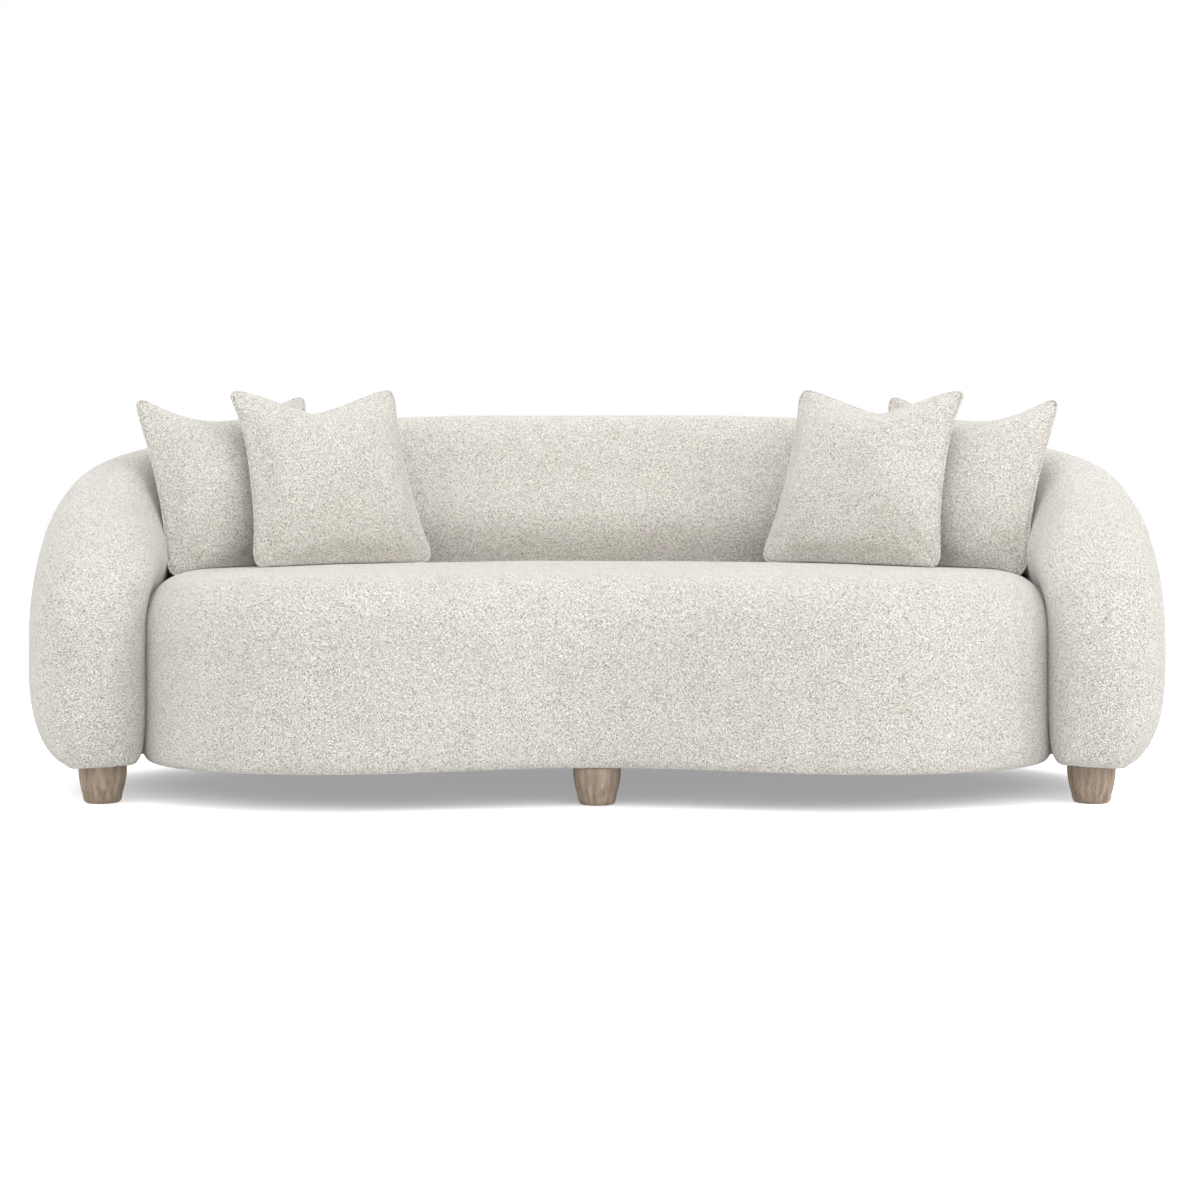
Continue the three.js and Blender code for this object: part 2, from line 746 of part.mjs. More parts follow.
// Outline of the base board: under the seat in front, with a tongue out under each arm, and under the
// middle of the roll behind. An inset draws the whole outline in, for the cloth stapled beneath it.
function boardPoints(inset) {
  const bridgeY = noseTipY + bridgeRun + bridgeMargin + inset;
  const half = tongueHalfWidth - inset;
  const tip = tongueTip + inset;
  const seatPart = outline
    .slice(0, hollowSteps + lobeSteps)
    .filter(({ point }) => point.y < bridgeY)
    .map((place) => {
      const behindLobe = place.point.y > hemLift - 2 * bridgeMargin;
      return insetPoint(place, inset + boardInset + (behindLobe ? seatHemWidth : 0));
    });
  const front = [...seatPart, [seatPart[seatPart.length - 1][0], bridgeY]];
  const place = (run, out) => {
    const { x, y } = onRoll(run, [out, 0]);
    return [x, y];
  };
  const joinRun = halfRuns[halfPath.findIndex(([, y]) => y >= bridgeY)];
  const tongue = [place(joinRun, -half), place(tip + half, -half)];
  for (let step = 1; step < tongueSteps; step += 1) {
    const angle = Math.PI * (step / tongueSteps - 1 / 2);
    tongue.push(place(tip + half * (1 - Math.cos(angle)), half * Math.sin(angle)));
  }
  tongue.push(place(tip + half, half));
  const behind = nearStations.filter((run) => run > tip + 2 * half).map((run) => place(run, half));
  const right = [...front, ...tongue, ...behind];
  const left = right.slice(1, -1).reverse().map(([x, y]) => [-x, y]);
  return [...right, ...left];
}

const roundHole = ([x, y], radius, steps) => ({ x, y, rx: radius, ry: radius, steps });

// Places of the feet: the front ones as the photographed ones stand, the rear ones under the roll.
const frontFoot = onRoll(frontFootRun, [-frontFootOffset, 0]);
const rearFoot = onRoll(halfLength - rearFootReach, [0, 0]);
const feet = {
  front_right: [frontFoot.x, frontFoot.y],
  front_centre: [0, frontY + centreFootReach],
  front_left: [-frontFoot.x, frontFoot.y],
  rear_right: [rearFoot.x, rearFoot.y],
  rear_centre: [0, backLineY],
  rear_left: [-rearFoot.x, rearFoot.y],
};

function baseBoard() {
  const holes = Object.values(feet).map((place) => roundHole(place, nutRadius + fitGap, boltSides));
  const spread = armLineX - openingSetIn;
  const front = frontY + openingFrontReach;
  const back = backLineY - openingBackReach;
  const size = { y: (front + back) / 2, rx: (spread - openingWeb) / 2, ry: (back - front) / 2 };
  for (const side of [-1, 0, 1]) {
    holes.push({ ...size, x: side * spread, steps: openingSides });
  }
  return extrude(shapeFrom(boardPoints(0), holes), boardThickness);
}

function dustCover() {
  const holes = Object.values(feet).map((place) => roundHole(place, boltRadius + fitGap, boltSides));
  return extrude(shapeFrom(boardPoints(dustCoverInset), holes), dustCoverThickness);
}

// Turned foot: a cup that narrows to a rounded edge at the floor, bored blind for its bolt.
function footGeometry() {
  const height = groundClearance - fitGap;
  const points = [[0, 0], [footSoleRadius, 0]];
  for (const share of footShares) {
    const angle = (Math.PI / 2) * share;
    points.push([footSoleRadius + footEdgeTurn * Math.sin(angle), footEdgeRound * (1 - Math.cos(angle))]);
  }
  for (const share of footShares) {
    const radius = footSoleRadius + footEdgeTurn + (footTopRadius - footSoleRadius - footEdgeTurn) * share;
    const belly = footBelly * Math.sin(Math.PI * share);
    points.push([radius + belly, footEdgeRound + (height - footEdgeRound) * share]);
  }
  const bore = boltRadius + fitGap;
  points.push([bore, height], [bore, height - boltEmbed - fitGap], [0, height - boltEmbed - fitGap]);
  return lathe(points, footSides);
}

function lathe(points, sides) {
  const profile = points.map(([x, y]) => new THREE.Vector2(x, y));
  const geometry = weld(new THREE.LatheGeometry(profile, sides));
  geometry.rotateX(Math.PI / 2);
  const { position } = geometry.attributes;
  const corners = [];
  for (let i = 0; i < position.count; i += 1) {
    corners.push(new THREE.Vector3().fromBufferAttribute(position, i));
  }
  const triangles = [];
  const index = geometry.index.array;
  for (let i = 0; i < index.length; i += 3) triangles.push([index[i], index[i + 1], index[i + 2]]);
  return closedGeometry(corners, triangles);
}

const boltBottom = groundClearance - fitGap - boltEmbed;

function boltGeometry() {
  const length = boardTop - fitGap - boltBottom;
  return lathe([[0, 0], [boltRadius, 0], [boltRadius, length], [0, length]], boltSides);
}

// Threaded insert: a sleeve that fills the hole in the board and takes the foot's bolt.
function nutGeometry() {
  const bore = boltRadius + fitGap;
  const length = boardThickness - fitGap;
  return lathe([[bore, 0], [nutRadius, 0], [nutRadius, length], [bore, length], [bore, 0]], boltSides);
}

// Knife-edge cushion: crowned on both faces, with its sides drawn in between the pointed corners. It
// stands on one edge, so it has slumped a little wider at the bottom than at the top.
function cushionGeometry() {
  const shares = Array.from({ length: cushionSteps + 1 }, (_, i) => {
    return Math.sin((Math.PI / 2) * ((2 * i) / cushionSteps - 1));
  });
  const fall = (share) => 1 - Math.abs(share) ** crownFullnessShare;
  const place = (u, v, side) => {
    const ear = cushionEar * Math.abs(u * v) ** earSharpnessShare;
    const halfWidth = cushionWidth / 2 - cushionSlump * v - cushionDrawIn * (1 - v * v) * u * u;
    const halfHeight = cushionHeight / 2 - cushionDrawIn * (1 - u * u) * v * v;
    const across = u * halfWidth + Math.sign(u) * ear;
    const up = v * halfHeight + Math.sign(v) * ear;
    const crown = (fall(u) * fall(v)) ** crownTaperShare;
    const thick = cushionLip / 2 + ((cushionThickness - cushionLip) / 2) * crown;
    return new THREE.Vector3(across, side * thick, up);
  };
  const face = (side) => shares.map((v) => shares.map((u) => place(u, v, side)));
  return sheetGeometry(face(-1), face(1));
}

// Sets a cushion down on the seat: how far it is turned towards the sofa's middle, how far its top leans
// back, and its roll in its own plane. Right-hand cushions mirror the left-hand ones.
function placeCushion(name, { setIn, setback, rest, turn, lean, roll }, side) {
  const mesh = addMesh(name, cushionGeometry(), creamCloth);
  mesh.rotation.order = 'ZXY';
  mesh.rotation.set(radians(-lean), radians(side * roll), radians(-side * turn));
  const turned = mesh.geometry.clone().applyMatrix4(new THREE.Matrix4().makeRotationFromEuler(mesh.rotation));
  turned.computeBoundingBox();
  const height = seatHeight + rest - turned.boundingBox.min.z;
  mesh.position.set(side * (armLineX - setIn), backLineY - setback, height);
}

addMesh('wrap_cover', wrapCover(), creamCloth);
addMesh('seat_cover', seatCover(), creamCloth);

const endStation = stations.length - 1;
addMesh('arm_foam_right', rollFoam(0, splitStation), foam);
addMesh('back_foam', rollFoam(splitStation, endStation - splitStation), foam);
addMesh('arm_foam_left', rollFoam(endStation - splitStation, endStation), foam);
addMesh('seat_foam', seatFoam(), foam);

// The inner lining backs the padding that is leaned on, the outer one the padding at the outside.
addMesh('inner_lining', liner(sectionAngles.indexOf(180), sectionAngles.indexOf(118)), hardboard);
addMesh('outer_lining', liner(sectionAngles.indexOf(62), sectionAngles.indexOf(-28)), hardboard);

addMesh('base_board', baseBoard(), plywood).position.z = boardBottom;
addMesh('dust_cover', dustCover(), blackCloth).position.z = boardBottom - fitGap - dustCoverThickness;

const ribRoom = toSolid(ringGeometry(
  rollRows(stations.filter((run) => nearEnd(run) > noseRound - fitGap), ribInset, foamFloors),
));
const ribNotch = toSolid(crestRail(fitGap));
const ribRuns = ribRunShares.map((share) => share * halfLength);
[...ribRuns, ...ribRuns.slice().reverse().map((run) => pathLength - run)].forEach((run, i) => {
  addMesh(`rib_${i + 1}`, ribGeometry(run, ribRoom, ribNotch), plywood);
});
addMesh('crest_rail', crestRail(0), plywood);

const railInset = cavityInset + railFoamGap;
const frontRailStep = hollowSteps + lobeSteps - 1;
const backRailStep = frontRailStep + 3;
const railBottom = boardTop + fitGap;
const seatRail = (name, first, last) => {
  const geometry = outlineStrip(first, last, railInset, railThickness, railHeight);
  addMesh(name, geometry, plywood).position.z = railBottom;
};
seatRail('seat_rail_front', -frontRailStep, frontRailStep);
seatRail('seat_rail_right', frontRailStep, backRailStep);
seatRail('seat_rail_back', backRailStep, outlineSteps - backRailStep);
seatRail('seat_rail_left', outlineSteps - backRailStep, outlineSteps - frontRailStep);

const springPitch = (2 * (armLineX - springSetIn)) / (springCount - 1);

// Each cross rail runs midway between the first and the second spring beside the middle one.
for (const side of [-1, 1]) {
  const x = side * 1.5 * springPitch;
  const spans = [x - crossRailThickness / 2, x + crossRailThickness / 2].map(railSpan);
  const front = Math.max(...spans.map(([y]) => y)) + fitGap;
  const back = Math.min(...spans.map(([, y]) => y)) - fitGap;
  const geometry = weld(new THREE.BoxGeometry(crossRailThickness, back - front, crossRailHeight));
  const rail = addMesh(mirrorName('cross_rail', side), geometry, plywood);
  rail.position.set(x, (front + back) / 2, railBottom + crossRailHeight / 2);
}

for (let i = 0; i < springCount; i += 1) {
  const x = (i - (springCount - 1) / 2) * springPitch;
  const line = springLine(x);
  addMesh(`seat_spring_${i + 1}`, wire(line, springWire / 2, springSides), steel);
}

for (const [name, [x, y]] of Object.entries(feet)) {
  addMesh(`foot_${name}`, footGeometry(), oak).position.set(x, y, 0);
  addMesh(`foot_bolt_${name}`, boltGeometry(), steel).position.set(x, y, boltBottom);
  addMesh(`foot_nut_${name}`, nutGeometry(), steel).position.set(x, y, boardBottom);
}

for (const side of [-1, 1]) {
  placeCushion(mirrorName('cushion_rear', side), rearCushion, side);
  placeCushion(mirrorName('cushion_front', side), frontCushion, side);
}

export default group;
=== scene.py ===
# %% [markdown]
# A curved sofa in cream boucle. One plump roll makes both arms and the back, a thick seat with a
# kidney-shaped front lies inside it, and four loose cushions stand in pairs on the seat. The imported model
# holds the frame, the springs, the ribs and the plain form of the padding. This script dresses it: it
# draws the cloth surfaces anew from their formulas, far finer, and gives every piece its finish.

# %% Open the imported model
import math

import bmesh
import bpy
import numpy as np
from mathutils import Matrix, Vector


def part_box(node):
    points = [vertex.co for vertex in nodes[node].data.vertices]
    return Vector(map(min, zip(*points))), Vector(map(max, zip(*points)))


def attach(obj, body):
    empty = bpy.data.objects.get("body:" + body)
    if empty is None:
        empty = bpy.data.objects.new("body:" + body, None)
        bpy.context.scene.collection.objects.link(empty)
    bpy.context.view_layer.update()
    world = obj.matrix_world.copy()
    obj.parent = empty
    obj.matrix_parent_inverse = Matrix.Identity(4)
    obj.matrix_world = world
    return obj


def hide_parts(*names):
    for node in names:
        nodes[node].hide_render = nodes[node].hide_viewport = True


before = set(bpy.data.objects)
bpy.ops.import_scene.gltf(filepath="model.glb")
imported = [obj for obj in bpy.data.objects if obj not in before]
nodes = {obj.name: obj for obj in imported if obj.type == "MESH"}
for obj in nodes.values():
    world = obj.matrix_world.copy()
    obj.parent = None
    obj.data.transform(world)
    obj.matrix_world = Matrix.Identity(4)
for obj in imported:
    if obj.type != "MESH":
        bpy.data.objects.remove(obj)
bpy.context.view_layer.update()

scene = bpy.context.scene
scene.view_settings.view_transform = "Standard"
print("nodes in the packed model:", len(nodes))

# %% [markdown]
# The photograph was taken from the front, about 4.6 m from the middle of the sofa and 60 cm above the
# floor, with a short portrait lens. The camera looks level, and a small downward shift frames the sofa as
# the photograph does. A pitched camera would frame it too, but then the arms would lean.

# %% Camera
IMAGE_PIXELS = 1200
FOCAL_PIXELS = 2163
HORIZON_PIXELS = 498
CENTRE_PIXELS = 597
SENSOR_WIDTH = 36
CAMERA_DISTANCE, CAMERA_HEIGHT = 4.58, 0.60

camera_data = bpy.data.cameras.new("camera")
camera_data.sensor_width = SENSOR_WIDTH
camera_data.lens = SENSOR_WIDTH * FOCAL_PIXELS / IMAGE_PIXELS
camera_data.shift_x = (IMAGE_PIXELS / 2 - CENTRE_PIXELS) / IMAGE_PIXELS
camera_data.shift_y = (HORIZON_PIXELS - IMAGE_PIXELS / 2) / IMAGE_PIXELS
camera = bpy.data.objects.new("camera", camera_data)
camera.location = (0, -CAMERA_DISTANCE, CAMERA_HEIGHT)
camera.rotation_euler = (math.pi / 2, 0, 0)
scene.collection.objects.link(camera)
scene.camera = camera
print("lens, mm:", round(camera_data.lens, 1))

# %% [markdown]
# A finish in Blender is a small graph of nodes. A few helpers keep such graphs short to write. The patterns
# read object coordinates, so they keep their size in metres on every piece, wherever it lies.

# %% Node helpers


def finish(name):
    """A new material with its tree and its main shader."""
    material = bpy.data.materials.new(name)
    material.use_nodes = True
    tree = material.node_tree
    return material, tree, tree.nodes["Principled BSDF"]


def add(tree, kind, settings=None, **inputs):
    """Adds a node; inputs are values or other nodes' sockets, by name or by number as in i0."""
    node = tree.nodes.new("ShaderNode" + kind)
    for key, value in (settings or {}).items():
        setattr(node, key, value)
    for key, value in inputs.items():
        number = key[1:] if key[0] == "i" and key[1:].isdigit() else None
        socket = node.inputs[int(number)] if number else node.inputs[key.replace("_", " ")]
        if isinstance(value, bpy.types.NodeSocket):
            tree.links.new(value, socket)
        else:
            socket.default_value = value
    return node


def maths(tree, operation, first, second=0.0, third=0.0):
    """The result of one sum on numbers or sockets."""
    return add(tree, "Math", {"operation": operation}, i0=first, i1=second, i2=third).outputs[0]


def place(tree, scale=(1, 1, 1)):
    """Object coordinates, stretched by scale."""
    source = tree.nodes.new("ShaderNodeTexCoord")
    return add(tree, "Mapping", Vector=source.outputs["Object"], Scale=scale).outputs[0]


print("node helpers ready")

# %% [markdown]
# The sofa stands in even studio light: a broad soft light overhead, a key from the upper right in front, a
# smaller lamp further to the right for the crisp shadows, and light from all round. The background is white
# only for what the camera sees, so the sofa keeps its own shading. Stronger lamps would make everything
# round it white as well, but they would burn out the cream of the cloth.

# %% Lights and background
SKY_LIGHT = 1.14
LAMP_AIM = (0, 0, 0.4)
LAMPS = {
    "overhead_light": dict(spot=(0.0, -0.6, 3.4), size=4.0, power=32),
    "key_light": dict(spot=(2.6, -3.4, 2.4), size=1.6, power=18),
    "side_light": dict(spot=(3.8, -1.2, 2.6), size=0.9, power=36),
}


def area_light(name, spot, size, power):
    """A square soft light at a spot, turned towards the sofa's middle."""
    data = bpy.data.lights.new(name, "AREA")
    data.shape = "SQUARE"
    data.size = size
    data.energy = power
    light = bpy.data.objects.new(name, data)
    light.location = spot
    light.rotation_euler = (Vector(LAMP_AIM) - Vector(spot)).to_track_quat("-Z", "Y").to_euler()
    scene.collection.objects.link(light)


def seen_share(tree):
    """1 where the camera, a reflection or glass sees a surface directly, 0 for the light it gives."""
    path = tree.nodes.new("ShaderNodeLightPath")
    seen = maths(tree, "MAXIMUM", path.outputs["Is Camera Ray"], path.outputs["Is Glossy Ray"])
    return maths(tree, "MAXIMUM", seen, path.outputs["Is Transmission Ray"])


for name, lamp in LAMPS.items():
    area_light(name, **lamp)

world = bpy.data.worlds.new("studio")
scene.world = world
world.use_nodes = True
sky = world.node_tree
even_light = sky.nodes["Background"]
even_light.inputs["Color"].default_value = (1, 1, 1, 1)
even_light.inputs["Strength"].default_value = SKY_LIGHT
backdrop = add(sky, "Background", Color=(1, 1, 1, 1), Strength=1.0)
choice = add(sky, "MixShader", i0=seen_share(sky), i1=even_light.outputs[0], i2=backdrop.outputs[0])
sky.links.new(choice.outputs[0], sky.nodes["World Output"].inputs["Surface"])
print("lamps:", list(LAMPS))

# %% [markdown]
# The floor is one large white plane, which throws soft light back under the sofa. It glows a little for
# the camera, as the background does, but less inside an ellipse under the sofa, so the grey shadow stays.

# %% Floor
FLOOR_SIZE = 60
FLOOR_WHITE = (0.9, 0.9, 0.9, 1)
FLOOR_GLOW_UNDER, FLOOR_GLOW_AROUND = 0.32, 0.75
SHADOW_HALF_WIDTH, SHADOW_HALF_DEPTH = 1.16, 0.515
SHADOW_FADE_START, SHADOW_FADE_END = 0.7, 1.25


def floor_finish():
    """White paint that glows for the camera: little inside the shadow's ellipse, more beyond its edge."""
    material, tree, shader = finish("floor_white")
    shader.inputs["Base Color"].default_value = FLOOR_WHITE
    shader.inputs["Roughness"].default_value = 1.0
    shader.inputs["Specular IOR Level"].default_value = 0.0
    ellipses = place(tree, (1 / SHADOW_HALF_WIDTH, 1 / SHADOW_HALF_DEPTH, 1))
    away = add(tree, "VectorMath", {"operation": "LENGTH"}, i0=ellipses)
    spread = add(tree, "MapRange", {"interpolation_type": "SMOOTHSTEP"}, Value=away.outputs["Value"],
                 From_Min=SHADOW_FADE_START, From_Max=SHADOW_FADE_END,
                 To_Min=FLOOR_GLOW_UNDER, To_Max=FLOOR_GLOW_AROUND)
    glow = add(tree, "Emission", Strength=maths(tree, "MULTIPLY", seen_share(tree), spread.outputs[0]))
    both = add(tree, "AddShader", i0=shader.outputs[0], i1=glow.outputs[0])
    tree.links.new(both.outputs[0], tree.nodes["Material Output"].inputs["Surface"])
    return material


bpy.ops.mesh.primitive_plane_add(size=FLOOR_SIZE, location=(0, 0, 0))
floor = bpy.context.object
floor.name = "floor"
floor.data.materials.append(floor_finish())
print("floor, m:", FLOOR_SIZE)

# %% [markdown]
# Four small formulas shape the padding: a soft step, a power that keeps the sign, the quarter of a
# superellipse, which can be fuller than a circle's and rounder than a box's, and waves for unevenness.

# %% Shaping formulas
TINY = 1e-9
SINES = 14


def smooth_step(start, end, value):
    """0 before start, 1 after end, and 3s^2 - 2s^3 of the share s between them."""
    share = np.clip((value - start) / (end - start), 0, 1)
    return share * share * (3 - 2 * share)


def signed_power(value, power):
    """The sign of value times its size raised to power."""
    return np.sign(value) * np.abs(value) ** power


def super_quarter(share, fullness):
    """Height of a superellipse's quarter: (1 - s^n) to the power of 1/n."""
    return (1 - np.clip(share, 0, 1) ** fullness) ** (1 / fullness)


def soft_waves(points, size, seed):
    """Smooth noise, mostly between -1 and 1: a scaled sum of sines with random directions and phases."""
    chance = np.random.default_rng(seed)
    total = np.zeros(points.shape[:-1])
    for _ in range(SINES):
        way = chance.normal(size=3)
        way *= 2 * np.pi / size / np.linalg.norm(way)
        total += np.sin(points @ way + chance.uniform(0, 2 * np.pi))
    return total / np.sqrt(SINES / 2) / 2


print("smooth step at a quarter:", smooth_step(0, 1, 0.25))

# %% [markdown]
# Every cloth surface here is a function of two parameters. A helper turns such a grid of points into a
# mesh, joins the points that fall together at a pole, and makes the faces look outwards. A modelled box
# with many subdivisions could be pushed into shape too, but a formula keeps to the sofa's measured lines.

# %% Grids into meshes
MERGE_DISTANCE = 1e-5


def grid_object(name, points, around=False, keep=None):
    """A mesh from a rows x columns x 3 grid of points, closed round its columns where around is set.

    Cell i, j has the corners (i, j), (i + 1, j), (i + 1, j + 1) and (i, j + 1); keep picks the cells."""
    rows, columns = points.shape[:2]
    cells = columns if around else columns - 1
    i, j = np.meshgrid(np.arange(rows - 1), np.arange(cells), indexing="ij")
    if keep is not None:
        i, j = i[keep], j[keep]
    i, j = i.ravel(), j.ravel()
    k = (j + 1) % columns
    quads = np.stack([i * columns + j, (i + 1) * columns + j, (i + 1) * columns + k, i * columns + k], 1)
    mesh = bpy.data.meshes.new(name)
    mesh.from_pydata(points.reshape(-1, 3), [], quads.tolist())
    body = bmesh.new()
    body.from_mesh(mesh)
    bmesh.ops.remove_doubles(body, verts=body.verts, dist=MERGE_DISTANCE)
    bmesh.ops.delete(body, geom=[v for v in body.verts if not v.link_faces], context="VERTS")
    bmesh.ops.recalc_face_normals(body, faces=body.faces)
    body.to_mesh(mesh)
    body.free()
    mesh.shade_smooth()
    piece = bpy.data.objects.new(name, mesh)
    scene.collection.objects.link(piece)
    return piece


def grid_normals(points):
    """Outward unit normals: the cross product of a grid's two directions, across the rows first."""
    along = np.gradient(points, axis=0)
    across = np.gradient(points, axis=1)
    normal = np.cross(across, along)
    length = np.linalg.norm(normal, axis=-1, keepdims=True)
    return normal / np.maximum(length, TINY)


def apply_modifiers(piece):
    """Bakes a piece's modifiers into its mesh."""
    graph = bpy.context.evaluated_depsgraph_get()
    mesh = bpy.data.meshes.new_from_object(piece.evaluated_get(graph))
    piece.modifiers.clear()
    piece.data = mesh
    mesh.shade_smooth()


print("points merge within, m:", MERGE_DISTANCE)

# %% [markdown]
# The roll follows a middle line in plan: each arm is nearly straight and curls in at its nose, and the
# back is a quarter of a superellipse on each side. A curve object with a round bevel could be swept along
# it, but here the section changes all the way, so it is a formula too. Sizes are in metres and the ones of
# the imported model, whose box the covers keep. A fullness is a superellipse's exponent. The ridge, the toe
# under the nose and the seat's lobes are fuller here than in the plain solids, as the photograph shows.

# %% The roll's middle line
WIDTH, DEPTH = 2.312, 1.0
CLEARANCE, BOARD_TOP = 0.075, 0.0968
ARM_THICKNESS, BACK_THICKNESS = 0.230, 0.250
CREST, WAIST, BELLY_DROP = 0.788, 0.290, 0.222
NOSE_SETBACK, NOSE_CURL, NOSE_ROUND, TOE_ROUND = 0.072, 0.088, 0.118, 0.054
ARM_RUN, CREST_CLIMB, NOSE_TRIM = 0.360, 1.450, 0.009
ARM_SWELL = dict(depth=0.038, height=0.480, below=0.076, above=0.105)
BACK_SWELL = dict(depth=0.030, height=0.545, below=0.080, above=0.080)
CORNER_FULL, CREST_FULL, UPPER_FULL, LOWER_FULL = 2.6, 2.15, 2.6, 2.65
NOSE_TOE_FULL, RIDGE_FULL = 7.0, 3.4
ARM_POINTS, BACK_POINTS = 61, 161

front_y = -DEPTH / 2
nose_y = front_y + NOSE_SETBACK
shoulder_y = nose_y + ARM_RUN
arm_x = (WIDTH - ARM_THICKNESS) / 2
back_y = DEPTH / 2 - BACK_THICKNESS / 2


def half_middle_line():
    """The right half: a parabola in the share s of the arm's run, then a superellipse's quarter."""
    share = np.linspace(1, 0, ARM_POINTS)
    arm = np.stack([arm_x - NOSE_CURL * share**2, shoulder_y - ARM_RUN * share], 1)
    turn = np.linspace(0, np.pi / 2, BACK_POINTS)[1:]
    power = 2 / CORNER_FULL
    back = np.stack([arm_x * np.abs(np.cos(turn)) ** power,
                     shoulder_y + (back_y - shoulder_y) * np.sin(turn) ** power], 1)
    back[-1, 0] = 0
    return np.concatenate([arm, back])


half_line = half_middle_line()
half_runs = np.concatenate([[0], np.cumsum(np.linalg.norm(np.diff(half_line, axis=0), axis=1))])
half_length = half_runs[-1]
total_length = 2 * half_length


def line_point(run):
    """Place on the middle line at a distance along it, mirrored past the middle of the back."""
    mirrored = run > half_length
    near = np.where(mirrored, total_length - run, run)
    x = np.interp(near, half_runs, half_line[:, 0])
    y = np.interp(near, half_runs, half_line[:, 1])
    return np.where(mirrored, -x, x), y


def line_frame(run):
    """Place and outward direction of the middle line, from a small step to each side."""
    reach = ARM_THICKNESS / 24
    ax, ay = line_point(np.maximum(run - reach, 0))
    bx, by = line_point(np.minimum(run + reach, total_length))
    length = np.hypot(bx - ax, by - ay)
    x, y = line_point(run)
    return x, y, (by - ay) / length, -(bx - ax) / length


print("length of the roll, m:", round(total_length, 2))

# %% [markdown]
# Four measures change along the roll: the height of its crest, the half thickness outside and inside, and
# the swell of the inner face, where the padding bulges. Each is a short formula of the distance along it.

# %% Measures along the roll


def crest_height(run):
    """Height of the roll's crest, which climbs along a superellipse from the nose."""
    near = np.minimum(run, total_length - run)
    return WAIST + (CREST - WAIST) * super_quarter(1 - near / CREST_CLIMB, CREST_FULL)


def outer_half(near):
    """Half of the roll's thickness, which grows evenly from the shoulder to the middle of the back."""
    share = np.clip((near - ARM_RUN) / (half_length - ARM_RUN), 0, 1)
    return (ARM_THICKNESS + (BACK_THICKNESS - ARM_THICKNESS) * share) / 2


def inner_half(near):
    """The same on the inner side, less a trim at the nose that fades out softly by the shoulder."""
    return outer_half(near) - NOSE_TRIM * (1 - smooth_step(NOSE_ROUND, ARM_RUN, near))


def swell_at(near, height):
    """Swell of the inner face: a bell over height, lower down on the arms than on the back."""
    share = smooth_step(ARM_RUN, 2 * ARM_RUN, near)
    mix = {key: ARM_SWELL[key] + (BACK_SWELL[key] - ARM_SWELL[key]) * share for key in ARM_SWELL}
    above = height - mix["height"]
    span = np.where(above < 0, mix["below"], mix["above"])
    return mix["depth"] * np.exp(-((above / span) ** 2))


print("crest at the middle, m:", round(float(crest_height(half_length)), 3))

# %% [markdown]
# The section is a superellipse, round and full, which shrinks to a point at each nose. Along the inside of
# the arms its upper quarter is squarer, and the ridge so made shades the inner face beside the cushions.
# The cover is open along its underside, where it is stapled to the board, and closed round the noses.
# Behind the noses its inner hem climbs onto the board, because there the seat stands against it.

# %% Section of the roll
STATIONS = 13
STATION_GAP = (half_length - NOSE_ROUND) / STATIONS
INNER_HEM_ANGLE, HEM_CLIMB_ANGLE, OUTER_HEM_ANGLE = 252, 8, -72
HEM_SHARE = 0.05


def roll_points(runs, columns):
    """Grid of the roll: rows at distances along its line, columns round its section.

    A point lies at its half thickness times cos^p outwards and its half height times sin^p upwards."""
    near = np.minimum(runs, total_length - runs)[:, None]
    nose = super_quarter(1 - near / NOSE_ROUND, 2)
    toe = super_quarter(1 - near / TOE_ROUND, LOWER_FULL)
    raised = smooth_step(NOSE_ROUND, NOSE_ROUND + STATION_GAP, near)
    turn = np.linspace(0, 1, columns)[None, :]
    start, end = np.radians(INNER_HEM_ANGLE - HEM_CLIMB_ANGLE * raised), np.radians(OUTER_HEM_ANGLE)
    angle = start + (end - start) * turn
    c, s = np.cos(angle), np.sin(angle)
    upper, inner = s > 0, c < 0
    squareness = 1 - smooth_step(NOSE_ROUND, ARM_RUN, near)
    inner_lower = LOWER_FULL + (NOSE_TOE_FULL - LOWER_FULL) * squareness
    hem_blend = smooth_step(0, HEM_SHARE, turn)
    lower = np.where(inner, LOWER_FULL + (inner_lower - LOWER_FULL) * hem_blend, LOWER_FULL)
    ridge = smooth_step(NOSE_ROUND / 2, ARM_RUN / 2, near) * (1 - smooth_step(ARM_RUN, 3 * ARM_RUN, near))
    inner_upper = UPPER_FULL + (RIDGE_FULL - UPPER_FULL) * ridge
    power = 2 / np.where(upper, np.where(inner, inner_upper, UPPER_FULL), lower)
    rise = crest_height(runs)[:, None] - WAIST
    height = WAIST + np.where(upper, rise, BELLY_DROP * toe) * signed_power(s, power)
    swell = np.where(inner, nose * swell_at(near, height), 0)
    floor_height = CLEARANCE + np.where(inner, raised * (BOARD_TOP - CLEARANCE), 0)
    height = np.maximum(height, floor_height)
    behind = near[:, 0] > NOSE_ROUND / 2
    height[behind, 0] = floor_height[behind, 0]
    height[behind, -1] = floor_height[behind, -1]
    half = np.where(inner, inner_half(near), outer_half(near)) * nose
    out = half * signed_power(c, power) - swell
    x, y, nx, ny = line_frame(runs)
    return np.stack([x[:, None] + nx[:, None] * out, y[:, None] + ny[:, None] * out, height], -1)


print("from station to station of the roll, m:", round(STATION_GAP, 3))

# %% [markdown]
# The rows of the cover's grid lie closer round the noses, where it turns quickest. A little long-wave
# unevenness keeps the padding from looking turned on a lathe. The cells that would close the underside
# behind the noses are left out, and Solidify turns the surface into cloth of a thickness.

